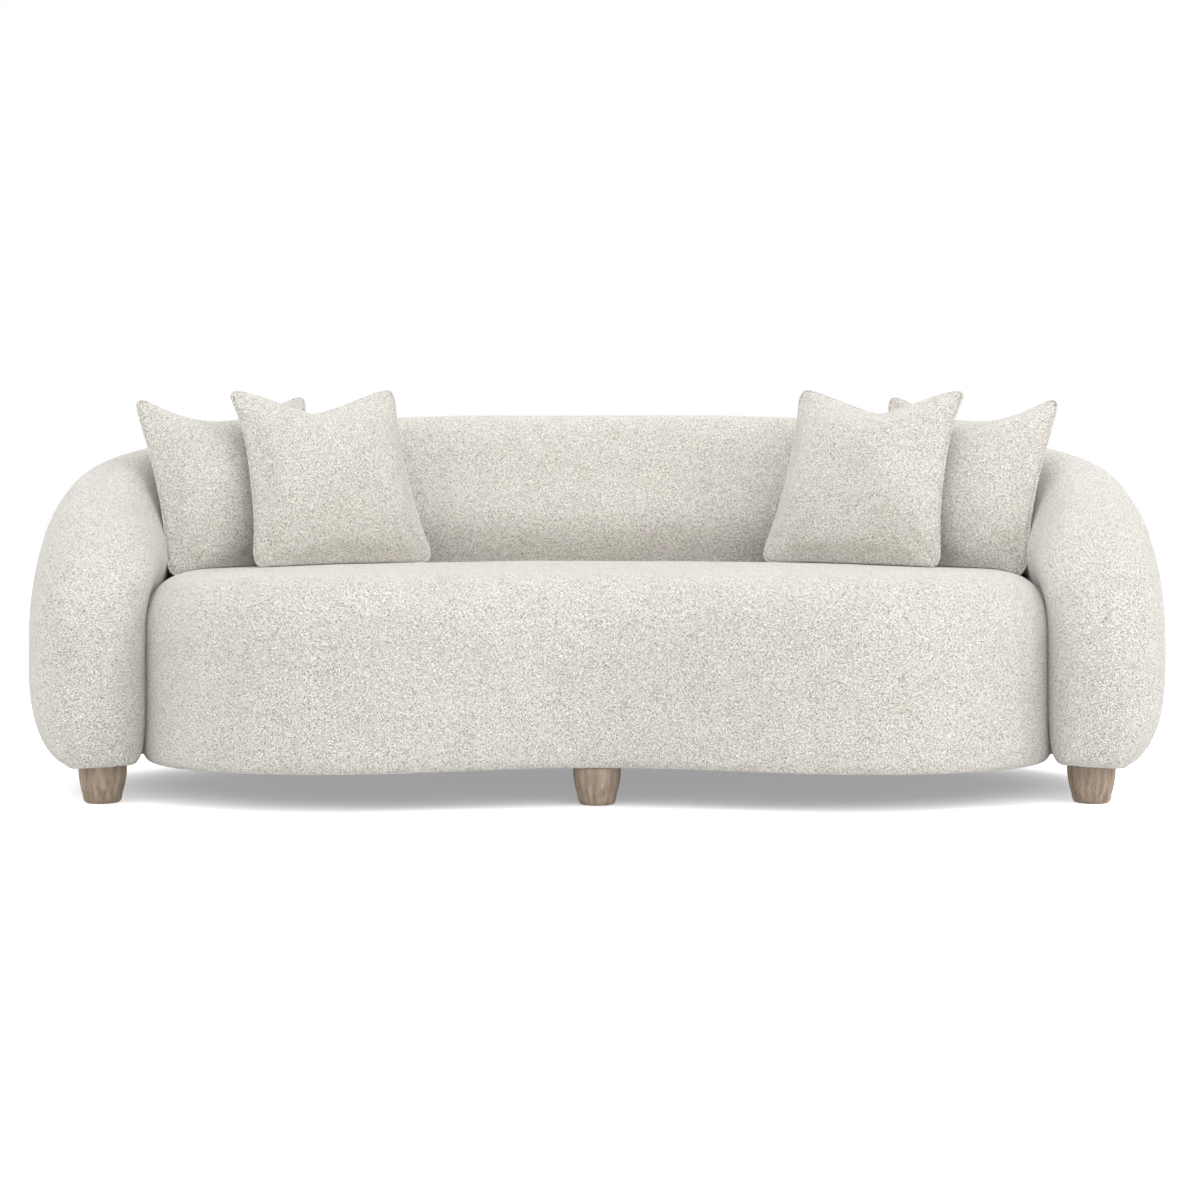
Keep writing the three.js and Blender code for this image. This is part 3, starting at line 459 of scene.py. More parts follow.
# %% Cover of the roll
SLOT_ANGLE, SLOT_TOLERANCE = 67.5, 1e-6
SLOT_START = NOSE_ROUND * (1 - math.cos(math.radians(SLOT_ANGLE)))
COVER_THICKNESS = 0.003
NOSE_ROWS, ARM_ROWS, ROLL_COLUMNS = 25, 132, 150
PLUMP = 0.0012
ROLL_WAVES = ((0.0006, 0.42, 3), (0.0002, 0.13, 4))
CALM_HEIGHT, WAVY_HEIGHT = 0.10, 0.20


def unevenness(points, waves):
    """How far padding stands out: its plumpness and soft waves, each of a height, a size and a seed."""
    return sum((height * soft_waves(points, size, seed) for height, size, seed in waves), PLUMP)


def slot_cells(runs):
    """The cells to fill: all but the last column, which closes the underside only round the noses."""
    near = np.minimum(runs, total_length - runs)
    cells = np.ones((len(runs) - 1, ROLL_COLUMNS), bool)
    cells[:, -1] = np.minimum(near[:-1], near[1:]) < SLOT_START - SLOT_TOLERANCE
    return cells


def give_thickness(piece):
    """Turns a cover's surface into cloth of a thickness, grown inwards."""
    shell = piece.modifiers.new("cloth", "SOLIDIFY")
    shell.thickness = COVER_THICKNESS
    shell.offset = -1
    apply_modifiers(piece)


nose_runs = NOSE_ROUND * (1 - np.cos(np.linspace(0, np.pi / 2, NOSE_ROWS)))
arm_runs = np.linspace(NOSE_ROUND, half_length, ARM_ROWS)[1:]
near_runs = np.concatenate([nose_runs, arm_runs])
roll_runs = np.concatenate([near_runs, total_length - near_runs[-2::-1]])
points = roll_points(roll_runs, ROLL_COLUMNS)
wave = unevenness(points, ROLL_WAVES) * smooth_step(CALM_HEIGHT, WAVY_HEIGHT, points[..., 2])
points = points + grid_normals(points) * wave[..., None]
roll = grid_object("roll_cover", points, around=True, keep=slot_cells(roll_runs))
give_thickness(roll)
print("roll cover faces:", len(roll.data.polygons))

# %% [markdown]
# The seat's plan starts with a shallow hollow in the middle of its front, runs round a lobe at each side
# and then along the inner face of the roll. A thin gap there is the seam between seat and arm.

# %% Outline of the seat
SEAM_GAP = 0.0012
LOBE_SPREAD, LOBE_DIP, LOBE_FULL = 0.520, 0.105, 2.1
LOBE_END_RUN = NOSE_ROUND + STATION_GAP
HOLLOW_POINTS, LOBE_POINTS, BEHIND_POINTS = 61, 71, 131
EVEN_REACH = 6


def inner_face(run):
    """Plan of the roll's inner face, less the seam's gap."""
    x, y, nx, ny = line_frame(run)
    out = -(inner_half(np.minimum(run, total_length - run)) + SEAM_GAP)
    return x + nx * out, y + ny * out, nx, ny


lobe_x, lobe_y = (float(value[0]) for value in inner_face(np.array([LOBE_END_RUN]))[:2])
LOBE_HALF_WIDTH, LOBE_REACH = lobe_x - LOBE_SPREAD, lobe_y - front_y


def seat_outline():
    """Half of the outline: a cosine hollow, a superellipse's quarter and the roll's inner face; mirrored.

    Each row is a place and an outward way; the ways are evened out over a few neighbours."""
    share = np.linspace(0, 1, HOLLOW_POINTS)[:-1]
    x = LOBE_SPREAD * share
    y = front_y + LOBE_DIP * (1 + np.cos(np.pi * share)) / 2
    slope = -LOBE_DIP * np.pi * np.sin(np.pi * share) / (2 * LOBE_SPREAD)
    hollow = np.stack([x, y, slope, -np.ones_like(x)], 1)
    angle = np.linspace(0, np.pi / 2, LOBE_POINTS)[:-1]
    across, back = np.sin(angle) ** (2 / LOBE_FULL), np.cos(angle) ** (2 / LOBE_FULL)
    lobe = np.stack([LOBE_SPREAD + LOBE_HALF_WIDTH * across, front_y + LOBE_REACH * (1 - back),
                     LOBE_REACH * across ** (LOBE_FULL - 1), -LOBE_HALF_WIDTH * back ** (LOBE_FULL - 1)], 1)
    behind = np.stack(inner_face(np.linspace(LOBE_END_RUN, half_length, BEHIND_POINTS)), 1)
    right = np.concatenate([hollow, lobe, behind])
    left = right[1:-1][::-1] * np.array([-1, 1, -1, 1])
    whole = np.concatenate([right, left])
    ways = whole[:, 2:] / np.linalg.norm(whole[:, 2:], axis=1, keepdims=True)
    ways = sum(np.roll(ways, shift, axis=0) for shift in range(-EVEN_REACH, EVEN_REACH + 1))
    return np.concatenate([whole[:, :2], ways / np.linalg.norm(ways, axis=1, keepdims=True)], 1)


outline = seat_outline()
print("points of the seat's outline:", len(outline))

# %% [markdown]
# The seat's side rises from a drawn-in hem, and a big soft edge rolls over onto a slightly crowned top.
# Rings of the outline, each drawn in a little more, make the surface. A flat plan that is pulled up and
# bevelled would come close, but the rings let the edge be as soft as a thick foam's.

# %% Cover of the seat
SEAT_HEIGHT, SEAT_CROWN = 0.465, 0.014
EDGE_RISE, EDGE_RUN, EDGE_FULL = 0.132, 0.112, 2.3
SEAT_TOE_RISE, SEAT_TOE_RUN, HEM_WIDTH = 0.034, 0.018, 0.012
HEM_CLIMB_MARGIN = 0.020
TOE_RINGS, SIDE_RINGS, EDGE_RINGS, TOP_RINGS = 12, 14, 34, 39
SEAT_WAVES = ((0.0008, 0.45, 8), (0.0004, 0.14, 9))

shoulder = SEAT_HEIGHT - SEAT_CROWN - EDGE_RISE
climb_start, climb_end = nose_y + NOSE_ROUND, nose_y + NOSE_ROUND + STATION_GAP
raised = smooth_step(climb_start + HEM_CLIMB_MARGIN, climb_end - HEM_CLIMB_MARGIN, outline[:, 1])
seat_floor = CLEARANCE + raised * (BOARD_TOP - CLEARANCE)


def seat_profile():
    """Insets and heights from the hem round the toe, up the side and over the edge."""
    toe = np.linspace(0, np.pi / 2, TOE_RINGS)
    edge = np.linspace(0, np.pi / 2, EDGE_RINGS)
    side = np.linspace(CLEARANCE + SEAT_TOE_RISE, shoulder, SIDE_RINGS + 2)[1:-1]
    inset = np.concatenate([[SEAT_TOE_RUN + HEM_WIDTH], SEAT_TOE_RUN * (1 - np.sin(toe)), 0 * side,
                            EDGE_RUN * (1 - np.cos(edge) ** (2 / EDGE_FULL))])
    height = np.concatenate([[CLEARANCE], CLEARANCE + SEAT_TOE_RISE * (1 - np.cos(toe)), side,
                             shoulder + EDGE_RISE * np.sin(edge) ** (2 / EDGE_FULL)])
    return inset[:, None], height[:, None]


def seat_grid():
    """Rings up to the edge, then rings that shrink to the middle under a parabola's crown."""
    x, y, way_x, way_y = outline.T
    inset, height = seat_profile()
    rings = np.stack([x - inset * way_x, y - inset * way_y, np.maximum(height, seat_floor)], -1)
    share = np.linspace(0, 1, TOP_RINGS + 1)[1:, None, None]
    top = rings[-1] * (1 - share)
    top[..., 2] = SEAT_HEIGHT - SEAT_CROWN * (1 - share[..., 0]) ** 2
    return np.concatenate([rings, top])


seat_points = seat_grid()
wave = unevenness(seat_points, SEAT_WAVES)
seat_points[..., 2] += wave * smooth_step(shoulder, SEAT_HEIGHT - SEAT_CROWN, seat_points[..., 2])
seat = grid_object("seat_cover_cloth", seat_points, around=True)
give_thickness(seat)
print("seat cover faces:", len(seat.data.polygons))

# %% [markdown]
# Each scatter cushion is two square panels sewn edge to edge and filled, so it is crowned in the middle,
# thin at the seam, and its sides draw in between its corners. The top corners stand up as rounded ears,
# and the top edge sags between them; a chop of the hand has put a V into it on the front pair. One
# formula on a square gives both panels, and the seam's line too. The measures were fitted to the
# photograph: the place of the middle, the turn, lean and roll in degrees, the dip of the top edge and the
# place of its V, how square the corners are, how far the sides slump and draw in, and how far and how
# sharply the left and the right ear stand out and rise.

# %% Form of a cushion
CUSHION_WIDTH, CUSHION_HEIGHT, CUSHION_THICKNESS = 0.384, 0.368, 0.130
LIP, LOW_EAR = 0.006, 0.014
CROWN_FULL, CROWN_TAPER, CHOP_SOFT = 2.4, 0.62, 0.03
SAG_SHARP, SOLE_SHARP = 3, 6
CUSHIONS = {
    "cushion_rear": dict(across=0.772, depth=0.067, height=0.628, turn=35, lean=21, roll=3.9,
                         dip=0.038, chop=None, round=12, slump=0.005, draw_in=0.008,
                         ears=(0.0105, 0.040), ear_sharp=3, rises=(0.043, 0.031), rise_sharp=2.6),
    "cushion_front": dict(across=0.571, depth=0.064, height=0.641, turn=32, lean=20, roll=1.2,
                          dip=0.038, chop=-0.12, round=14, slump=0.010, draw_in=0.0085,
                          ears=(0.0317, 0.0118), ear_sharp=4, rises=(0.029, 0.033), rise_sharp=1.3),
}


def top_dip(u, chop):
    """Sag of the top edge: a parabola, or the V of a chopped cushion with its foot rounded."""
    if chop is None:
        return 1 - u * u
    return 1 - (np.hypot(u - chop, CHOP_SOFT) - CHOP_SOFT) / (1 + np.sign(chop - u) * chop)


def cushion_face(u, v, side, thickness, pose):
    """A point on one panel: a square with rounded ears, drawn-in sides, a dipped top and a crown.

    The crown is (1 - |u|^n)(1 - |v|^n) raised to a power, and side is -1 in front and 1 behind."""
    reach = np.maximum(np.abs(u), np.abs(v))
    full = pose["round"]
    rounded = reach / np.maximum((np.abs(u) ** full + np.abs(v) ** full) ** (1 / full), TINY)
    crown = ((1 - np.abs(u) ** CROWN_FULL) * (1 - np.abs(v) ** CROWN_FULL)) ** CROWN_TAPER
    u, v = u * rounded, v * rounded
    left, right = (u < 0) & (v > 0), (u > 0) & (v > 0)
    corner = np.abs(u * v)
    ear = np.select([left, right], pose["ears"], LOW_EAR) * corner ** pose["ear_sharp"]
    rise = np.select([left, right], pose["rises"], 0.0) * corner ** pose["rise_sharp"]
    half_width = CUSHION_WIDTH / 2 - pose["slump"] * v - pose["draw_in"] * (1 - v * v) * u * u
    sag = v.clip(0, 1) ** SAG_SHARP * pose["dip"] * top_dip(u, pose["chop"])
    low = (-v).clip(0, 1) ** SOLE_SHARP * LOW_EAR
    thick = LIP / 2 + (thickness - LIP) / 2 * crown
    height = v * CUSHION_HEIGHT / 2 + rise - sag - low
    return np.stack([u * half_width + np.sign(u) * ear, side * thick, height], -1)


print("cushions:", list(CUSHIONS))

# %% [markdown]
# The seam of such a cushion stands a little proud as a thin rim. The same formula gives the seam's line,
# and a circle carried along it makes the rim.

# %% Rim of a cushion
RIM_STEPS, RIM_SIDES, RIM_RADIUS = 60, 10, 0.0028


def rim_line(pose):
    """The closed seam line of a cushion: the edge of its square, once round."""
    go = np.linspace(-1, 1, RIM_STEPS)[:-1]
    one = np.ones_like(go)
    u, v = np.concatenate([go, one, -go, -one]), np.concatenate([-one, go, one, -go])
    line = cushion_face(u, v, 0, CUSHION_THICKNESS, pose)
    return np.concatenate([line, line[:1]])


def seam_rim(line):
    """A thin round rim along the seam: circles square to the line, in rows along it."""
    ahead = np.gradient(line, axis=0)
    ahead[0] = ahead[-1] = ahead[0] + ahead[-1]
    ahead /= np.linalg.norm(ahead, axis=1, keepdims=True)
    level = np.broadcast_to((0.0, 1.0, 0.0), line.shape)
    aside = np.cross(ahead, level)
    angle = np.linspace(0, 2 * np.pi, RIM_SIDES + 1)[:-1, None]
    circle = aside[:, None] * np.cos(angle) + level[:, None] * np.sin(angle)
    return line[:, None] + RIM_RADIUS * circle


print("radius of the rim, m:", RIM_RADIUS)

# %% [markdown]
# A cushion starts as two grids, bridged at the seam, with a slight unevenness of its own, as hand-filled
# cushions have. The grid's steps are finer towards the seam, where the form turns quickest.

# %% Start of a cushion
PANEL_STEPS = 65
FILL_WAVE, FILL_WAVE_SIZE = 0.003, 0.16
BACK_SEED = 50


def cushion_start(name, thickness, seed, pose):
    """The cushion's closed mesh: a front and a back panel, uneven by soft waves, joined at the seam."""
    steps = np.sin(np.pi / 2 * np.linspace(-1, 1, PANEL_STEPS))
    u, v = np.meshgrid(steps, steps)
    front, back = cushion_face(u, v, -1, thickness, pose), cushion_face(u, v, 1, thickness, pose)
    for face, shift in ((front, 0), (back, BACK_SEED)):
        inner = ((1 - u**2) * (1 - v**2))[..., None] ** 0.5
        wave = FILL_WAVE * soft_waves(face, FILL_WAVE_SIZE, seed + shift)
        face += grid_normals(face) * inner * wave[..., None]
    front_piece = grid_object(name, front)
    back_piece = grid_object(name + "_back", back)
    body = bmesh.new()
    body.from_mesh(front_piece.data)
    body.from_mesh(back_piece.data)
    bmesh.ops.bridge_loops(body, edges=[edge for edge in body.edges if edge.is_boundary])
    bmesh.ops.recalc_face_normals(body, faces=body.faces)
    body.to_mesh(front_piece.data)
    body.free()
    bpy.data.objects.remove(back_piece)
    return front_piece


print("points of a cushion's panel:", PANEL_STEPS**2)

# %% [markdown]
# The filling is soft, so the cloth of a real cushion creases a little near the seam. That form comes from
# the cloth simulation: the mesh is remeshed evenly and blown up with a little pressure, each point may
# move only a short way, and the seam is held. A sculpted crease would do, but cloth finds its own.

# %% Blow up a cushion
VOXEL = 0.006
SIM_FRAMES = 20
MOVE_CAP, RIM_HOLD = 0.006, 0.030
CLOTH = dict(quality=5, mass=0.3, tension_stiffness=12, compression_stiffness=12, shear_stiffness=5,
             bending_stiffness=0.6, use_pressure=True, uniform_pressure_force=4.0)


def mesh_points(piece):
    """A mesh's points as an array."""
    points = np.empty(len(piece.data.vertices) * 3)
    piece.data.vertices.foreach_get("co", points)
    return points.reshape(-1, 3)


def set_mesh_points(piece, points):
    """Moves a mesh's points to the rows of an array."""
    piece.data.vertices.foreach_set("co", points.ravel())
    piece.data.update()


def blow_up(piece):
    """Remeshes a piece evenly and swells it under cloth pressure; no point moves further than the cap."""
    remesh = piece.modifiers.new("even_mesh", "REMESH")
    remesh.mode = "VOXEL"
    remesh.voxel_size = VOXEL
    apply_modifiers(piece)
    start = mesh_points(piece)
    cloth = piece.modifiers.new("swell", "CLOTH")
    for key, value in CLOTH.items():
        setattr(cloth.settings, key, value)
    cloth.settings.effector_weights.gravity = 0
    cloth.point_cache.frame_start = 1
    cloth.point_cache.frame_end = SIM_FRAMES
    for number in range(1, SIM_FRAMES + 1):
        scene.frame_set(number)
    apply_modifiers(piece)
    moved = mesh_points(piece) - start
    length = np.linalg.norm(moved, axis=1, keepdims=True)
    moved *= np.minimum(1, MOVE_CAP / np.maximum(length, TINY))
    moved *= smooth_step(LIP, RIM_HOLD, np.abs(start[:, 1:2]))
    set_mesh_points(piece, start + moved)
    scene.frame_set(1)


print("frames of the simulation:", SIM_FRAMES, "and the furthest move, m:", MOVE_CAP)

# %% [markdown]
# Each cushion is made in its own axes and set down afterwards, leaning on the roll. Its weight rests on
# the seat: where its plain form would sink into the seat's cover, the underside is flattened onto it. A
# collision in the simulation could do that too, but reading the cover's height is quick and exact.

# %% Set a cushion down
SEAT_TOUCH, NEAR_SEAT = 0.001, 0.02
ABOVE_TOE = slice(TOE_RINGS + 2, -1)


def cushion_matrix(pose):
    """Columns are the left cushion's side, thickness and up directions and its middle."""
    turn, lean, roll = (math.radians(pose[key]) for key in ("turn", "lean", "roll"))
    side = Vector((math.cos(turn), math.sin(turn), 0))
    back = Vector((-math.sin(turn), math.cos(turn), 0))
    up = Vector((0, 0, math.cos(lean))) + back * math.sin(lean)
    rolled_side = side * math.cos(roll) + up * math.sin(roll)
    rolled_up = up * math.cos(roll) - side * math.sin(roll)
    matrix = Matrix((rolled_side, rolled_up.cross(rolled_side), rolled_up)).transposed().to_4x4()
    matrix.translation = (-pose["across"], pose["depth"], pose["height"])
    return matrix


def seat_height_at(x, y):
    """Height of the seat's cover: each of its rings read at a point's angle, then read across the rings."""
    rings = seat_points[ABOVE_TOE]
    asked, far = np.arctan2(y, x), np.hypot(x, y)
    angles = np.arctan2(rings[..., 1], rings[..., 0])
    reach, level = (np.array([np.interp(asked, at, row, period=2 * np.pi) for at, row in zip(angles, rows)])
                    for rows in (np.hypot(rings[..., 0], rings[..., 1]), rings[..., 2]))
    outer = np.clip((reach > far).sum(axis=0) - 1, 0, len(rings) - 2)
    column = np.arange(len(far))
    r0, r1 = reach[outer, column], reach[outer + 1, column]
    share = np.clip((r0 - far) / np.maximum(r0 - r1, TINY), 0, 1)
    return level[outer, column] * (1 - share) + level[outer + 1, column] * share


def rest_on_seat(piece):
    """Presses the underside flat: no point near the seat stays lower than its cover and a small gap."""
    points = mesh_points(piece)
    low = points[:, 2] < SEAT_HEIGHT + NEAR_SEAT
    floor_height = seat_height_at(points[low, 0], points[low, 1]) + SEAT_TOUCH
    points[low, 2] = np.maximum(points[low, 2], floor_height)
    set_mesh_points(piece, points)


for kind, pose in CUSHIONS.items():
    print(kind, "leans back by", pose["lean"], "degrees")

# %% [markdown]
# Now the four cushions are made in turn. Each is blown up first, because the remesh would swallow a thin
# seam, and gets its rim afterwards. The right-hand ones are mirror images in place and lean, but every one
# starts from its own seed. One subdivision at the end smooths the voxels away.

# %% The four cushions
SIM_THICKNESS = 0.126
CUSHION_SEEDS = {"cushion_rear_left": 20, "cushion_rear_right": 21,
                 "cushion_front_left": 24, "cushion_front_right": 25}


def join_into(piece, other):
    """Adds another object's mesh to a piece and removes the object."""
    body = bmesh.new()
    body.from_mesh(piece.data)
    body.from_mesh(other.data)
    body.to_mesh(piece.data)
    body.free()
    bpy.data.objects.remove(other)


cushions = {}
for name, seed in CUSHION_SEEDS.items():
    kind, side = name.rsplit("_", 1)
    pose = CUSHIONS[kind]
    piece = cushion_start("boucle_" + name, SIM_THICKNESS, seed, pose)
    blow_up(piece)
    join_into(piece, grid_object("rim", seam_rim(rim_line(pose)), around=True))
    piece.data.transform(cushion_matrix(pose))
    if side == "right":
        piece.data.transform(Matrix.Diagonal((-1, 1, 1, 1)))
        piece.data.flip_normals()
    rest_on_seat(piece)
    smooth = piece.modifiers.new("smooth", "SUBSURF")
    smooth.levels = smooth.render_levels = 1
    apply_modifiers(piece)
    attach(piece, name)
    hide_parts(name)
    cushions[name] = piece
    print(name, "faces:", len(piece.data.polygons))

# %% [markdown]
# The feet are turned: a flat sole, a generous round at the bottom edge and a wall that widens slightly
# towards the top. Revolving that profile in fine steps gives a smooth silhouette. Each foot stands where
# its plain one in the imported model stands.

# %% Feet
SOLE_RADIUS, SOLE_ROUND_RUN, SOLE_ROUND_RISE = 0.030, 0.008, 0.015
FOOT_TOP_RADIUS, FOOT_BELLY, FOOT_HEIGHT = 0.0474, 0.0025, 0.0746
SOLE_STEPS, WALL_STEPS, FOOT_COLUMNS = 14, 24, 96
FOOT_NAMES = [f"foot_{row}_{side}" for row in ("front", "rear") for side in ("right", "centre", "left")]


def foot_grid():
    """Revolved profile: sole centre, rounded edge, bellied wall and the centre of the top."""
    turn = np.linspace(0, np.pi / 2, SOLE_STEPS)
    low = np.stack([SOLE_RADIUS + SOLE_ROUND_RUN * np.sin(turn), SOLE_ROUND_RISE * (1 - np.cos(turn))], 1)
    share = np.linspace(0, 1, WALL_STEPS)[1:]
    start = SOLE_RADIUS + SOLE_ROUND_RUN
    wall = np.stack([start + (FOOT_TOP_RADIUS - start) * share + FOOT_BELLY * np.sin(np.pi * share),
                     SOLE_ROUND_RISE + (FOOT_HEIGHT - SOLE_ROUND_RISE) * share], 1)
    profile = np.concatenate([[[0, 0]], low, wall, [[0, FOOT_HEIGHT]]])
    angle = np.linspace(0, 2 * np.pi, FOOT_COLUMNS + 1)[:-1]
    r, z = profile[:, 0, None], profile[:, 1, None]
    return np.stack([r * np.cos(angle), r * np.sin(angle), z + 0 * angle], -1)


feet = {}
for name in FOOT_NAMES:
    low, high = (np.array(corner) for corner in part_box(name))
    stand = (low + high) / 2 * np.array([1, 1, 0])
    piece = grid_object("turned_" + name, foot_grid() + stand, around=True)
    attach(piece, "sofa")
    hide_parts(name)
    feet[name] = piece
print("feet:", len(feet))

# %% [markdown]
# Four more helpers for the finishes that follow: a ramp that turns a number into colours, a product of two
# colours, a noise, and a relief that bumps the surface by a height.

# %% Colour helpers


def ramp(tree, value, stops):
    """Colours between stops of (place, red, green, blue)."""
    node = tree.nodes.new("ShaderNodeValToRGB")
    while len(node.color_ramp.elements) < len(stops):
        node.color_ramp.elements.new(0.5)
    for element, (position, *colour) in zip(node.color_ramp.elements, stops):
        element.position = position
        element.color = (*colour, 1)
    tree.links.new(value, node.inputs[0])
    return node.outputs["Color"]


def multiply_colours(tree, share, first, second):
    """The first colour times the second, by a share of the whole effect."""
    node = add(tree, "Mix", {"data_type": "RGBA", "blend_type": "MULTIPLY"}, i0=share, i6=first, i7=second)
    return node.outputs[2]


def noise(tree, vector, scale, detail=2.0, rough=0.5):
    """Noise value around a half."""
    return add(tree, "TexNoise", Vector=vector, Scale=scale, Detail=detail, Roughness=rough).outputs[0]


def relief(tree, shader, strength, depth, height):
    """Bumps the shader's surface by a height."""
    bump = add(tree, "Bump", Strength=strength, Distance=depth, Height=height)
    tree.links.new(bump.outputs[0], shader.inputs["Normal"])


print("colour helpers ready")

# %% [markdown]
# Boucle is woven from yarn that stands in small curly loops. Seen near, it is a field of short worms,
# cream on their backs, with shade in the hollows between them, which is painted into the colour here:
# the lower the height, the darker and browner. Contour lines of a noise curl just so: the height here is
# the sine of a noise, on coordinates that a second noise bends, with small nubs and fibres added. A loop
# is some 4 mm long. A slow noise gives the soft patches, a faint one the flecks of colour, and a little
# sheen lights the fibres where the surface turns away. Modelled loops would be truer, but there would be
# hundreds of thousands of them.

# %% Boucle
LOOP_SCALE, LOOP_BENDS, LOOP_HEIGHT = 300.0, 5.0, 0.0014
CURL_SCALE, CURL_REACH = 350.0, 0.0028
NUB_SCALE, FIBRE_SCALE, PATCH_SCALE, FLECK_SCALE = 520.0, 1100.0, 11.0, 190.0
LOOP_SHARE, NUB_SHARE, FIBRE_SHARE, FLECK_SHARE = 0.42, 0.45, 0.25, 0.5
# Colour by height: the lowest stops are painted shade in the hollows between loops, the top ones the yarn's
# cream.
HOLLOW_SHADE_AND_CREAM = [(0.34, 0.11, 0.09, 0.07), (0.48, 0.53, 0.495, 0.43), (0.58, 0.84, 0.815, 0.76),
         (0.74, 0.97, 0.955, 0.91)]
PATCHES = [(0.3, 0.95, 0.945, 0.935), (0.7, 1.0, 1.0, 1.0)]
FLECKS = [(0.3, 0.86, 0.91, 0.84), (0.43, 1.0, 1.0, 1.0), (0.57, 1.0, 1.0, 1.0), (0.7, 0.96, 0.87, 0.85)]


def boucle_finish():
    """Cream boucle: curled loops, painted shade in the hollows, nubs, patches and a trace of coloured
    fleck.
    """
    material, tree, shader = finish("cream_boucle")
    where = place(tree)
    warp = add(tree, "TexNoise", Vector=where, Scale=CURL_SCALE, Detail=1.0)
    bend = add(tree, "VectorMath", {"operation": "MULTIPLY_ADD"}, i0=warp.outputs["Color"],
               i1=(CURL_REACH, CURL_REACH, CURL_REACH), i2=where).outputs[0]
    line = noise(tree, bend, LOOP_SCALE, 0.0)
    wave = maths(tree, "SINE", maths(tree, "MULTIPLY", line, LOOP_BENDS * 2 * math.pi))
    loops = maths(tree, "MULTIPLY_ADD", wave, 0.5, 0.5)
    nubs = add(tree, "TexVoronoi", {"feature": "SMOOTH_F1"}, Vector=bend, Scale=NUB_SCALE, Smoothness=0.5)
    nub = maths(tree, "SUBTRACT", 1.0, nubs.outputs["Distance"])
    fibre = noise(tree, where, FIBRE_SCALE, 2.0, 0.6)
    height = maths(tree, "MULTIPLY_ADD", loops, LOOP_SHARE, maths(tree, "MULTIPLY", nub, NUB_SHARE))
    height = maths(tree, "MULTIPLY_ADD", fibre, FIBRE_SHARE, height)
    patch = ramp(tree, noise(tree, where, PATCH_SCALE, 3.0, 0.55), PATCHES)
    # The colour follows the height, so the hollows get painted shade.
    colour = multiply_colours(tree, 1.0, ramp(tree, height, HOLLOW_SHADE_AND_CREAM), patch)
    fleck = ramp(tree, noise(tree, where, FLECK_SCALE, 0.0), FLECKS)
    colour = multiply_colours(tree, FLECK_SHARE, colour, fleck)
    tree.links.new(colour, shader.inputs["Base Color"])
    relief(tree, shader, 0.8, LOOP_HEIGHT, height)
    shader.inputs["Roughness"].default_value = 0.95
    shader.inputs["Specular IOR Level"].default_value = 0.1
    shader.inputs["Sheen Weight"].default_value = 1.0
    shader.inputs["Sheen Roughness"].default_value = 0.35
    shader.inputs["Sheen Tint"].default_value = (1, 0.985, 0.96, 1)
    return material


boucle = boucle_finish()
for piece in (roll, seat, *cushions.values()):
    piece.data.materials.clear()
    piece.data.materials.append(boucle)
print("boucle on", 2 + len(cushions), "pieces")

# %% [markdown]
# The feet are oak with a grey-brown wash. The grain runs up the foot: long thin streaks, which are noise
# on coordinates squeezed along the height, and fine open pores along them. A photograph of wood would
# need a flat layout of each foot, and the noise needs none.

# %% Washed oak
GRAIN_SQUEEZE = (130, 130, 9)
PORE_SCALE, PORE_SHARE, PORE_DEPTH = 4.5, 0.7, 0.0004
OAK = [(0.3, 0.20, 0.15, 0.11), (0.5, 0.335, 0.2625, 0.1975), (0.7, 0.47, 0.375, 0.285)]
PORES = [(0.34, 0.62, 0.58, 0.55), (0.44, 1, 1, 1)]


def oak_finish():
    """Washed oak with its grain along the height, where the squeeze is small."""
    material, tree, shader = finish("washed_oak")
    where = place(tree, GRAIN_SQUEEZE)
    streak = noise(tree, where, 1.0, 6.0, 0.6)
    pores = noise(tree, where, PORE_SCALE, 3.0, 0.7)
    colour = multiply_colours(tree, PORE_SHARE, ramp(tree, streak, OAK), ramp(tree, pores, PORES))
    tree.links.new(colour, shader.inputs["Base Color"])
    relief(tree, shader, 0.5, PORE_DEPTH, pores)
    rough = maths(tree, "MULTIPLY_ADD", streak, 0.25, 0.45)
    tree.links.new(rough, shader.inputs["Roughness"])
    shader.inputs["Specular IOR Level"].default_value = 0.3
    return material


foot_oak = oak_finish()
for piece in feet.values():
    piece.data.materials.append(foot_oak)
print("oak on", len(feet), "feet")

# %% [markdown]
# Inside, the frame shows only when the sofa is cut open or seen from beneath, but each piece has its
# finish: ply with its layers, mottled foam, hardboard, zinc-grey steel and black cloth. These pieces keep
# their CAD shapes, so they only get a better material. The patterns are noises and waves, as above.

# %% Inner finishes
PLY_LAYER, PLY_RELIEF, PLY_SQUEEZE = 0.0028, 0.0003, (6, 60, 60)
PLY = [(0.3, 0.44, 0.30, 0.17), (0.7, 0.66, 0.50, 0.33)]
LINING_PITCH, WEAVE_RELIEF = 0.0016, 0.0004
LINING = [(0.1, 0.008, 0.008, 0.009), (0.9, 0.03, 0.03, 0.032)]
SPECK_RELIEF = 0.0005


def mottled(name, dark, light, scale, rough, metal=0.0):
    """A plain surface with a noise in its colour, its shine and its relief."""
    material, tree, shader = finish(name)
    speck = noise(tree, place(tree), scale, 4.0, 0.6)
    tree.links.new(ramp(tree, speck, [(0.35, *dark), (0.65, *light)]), shader.inputs["Base Color"])
    tree.links.new(maths(tree, "MULTIPLY_ADD", speck, 0.2, rough - 0.1), shader.inputs["Roughness"])
    relief(tree, shader, 0.4, SPECK_RELIEF, speck)
    shader.inputs["Metallic"].default_value = metal
    return material


def stripes(tree, axes, axis, pitch):
    """A sine along one axis, once for each pitch."""
    return maths(tree, "SINE", maths(tree, "MULTIPLY", axes.outputs[axis], 2 * math.pi / pitch))


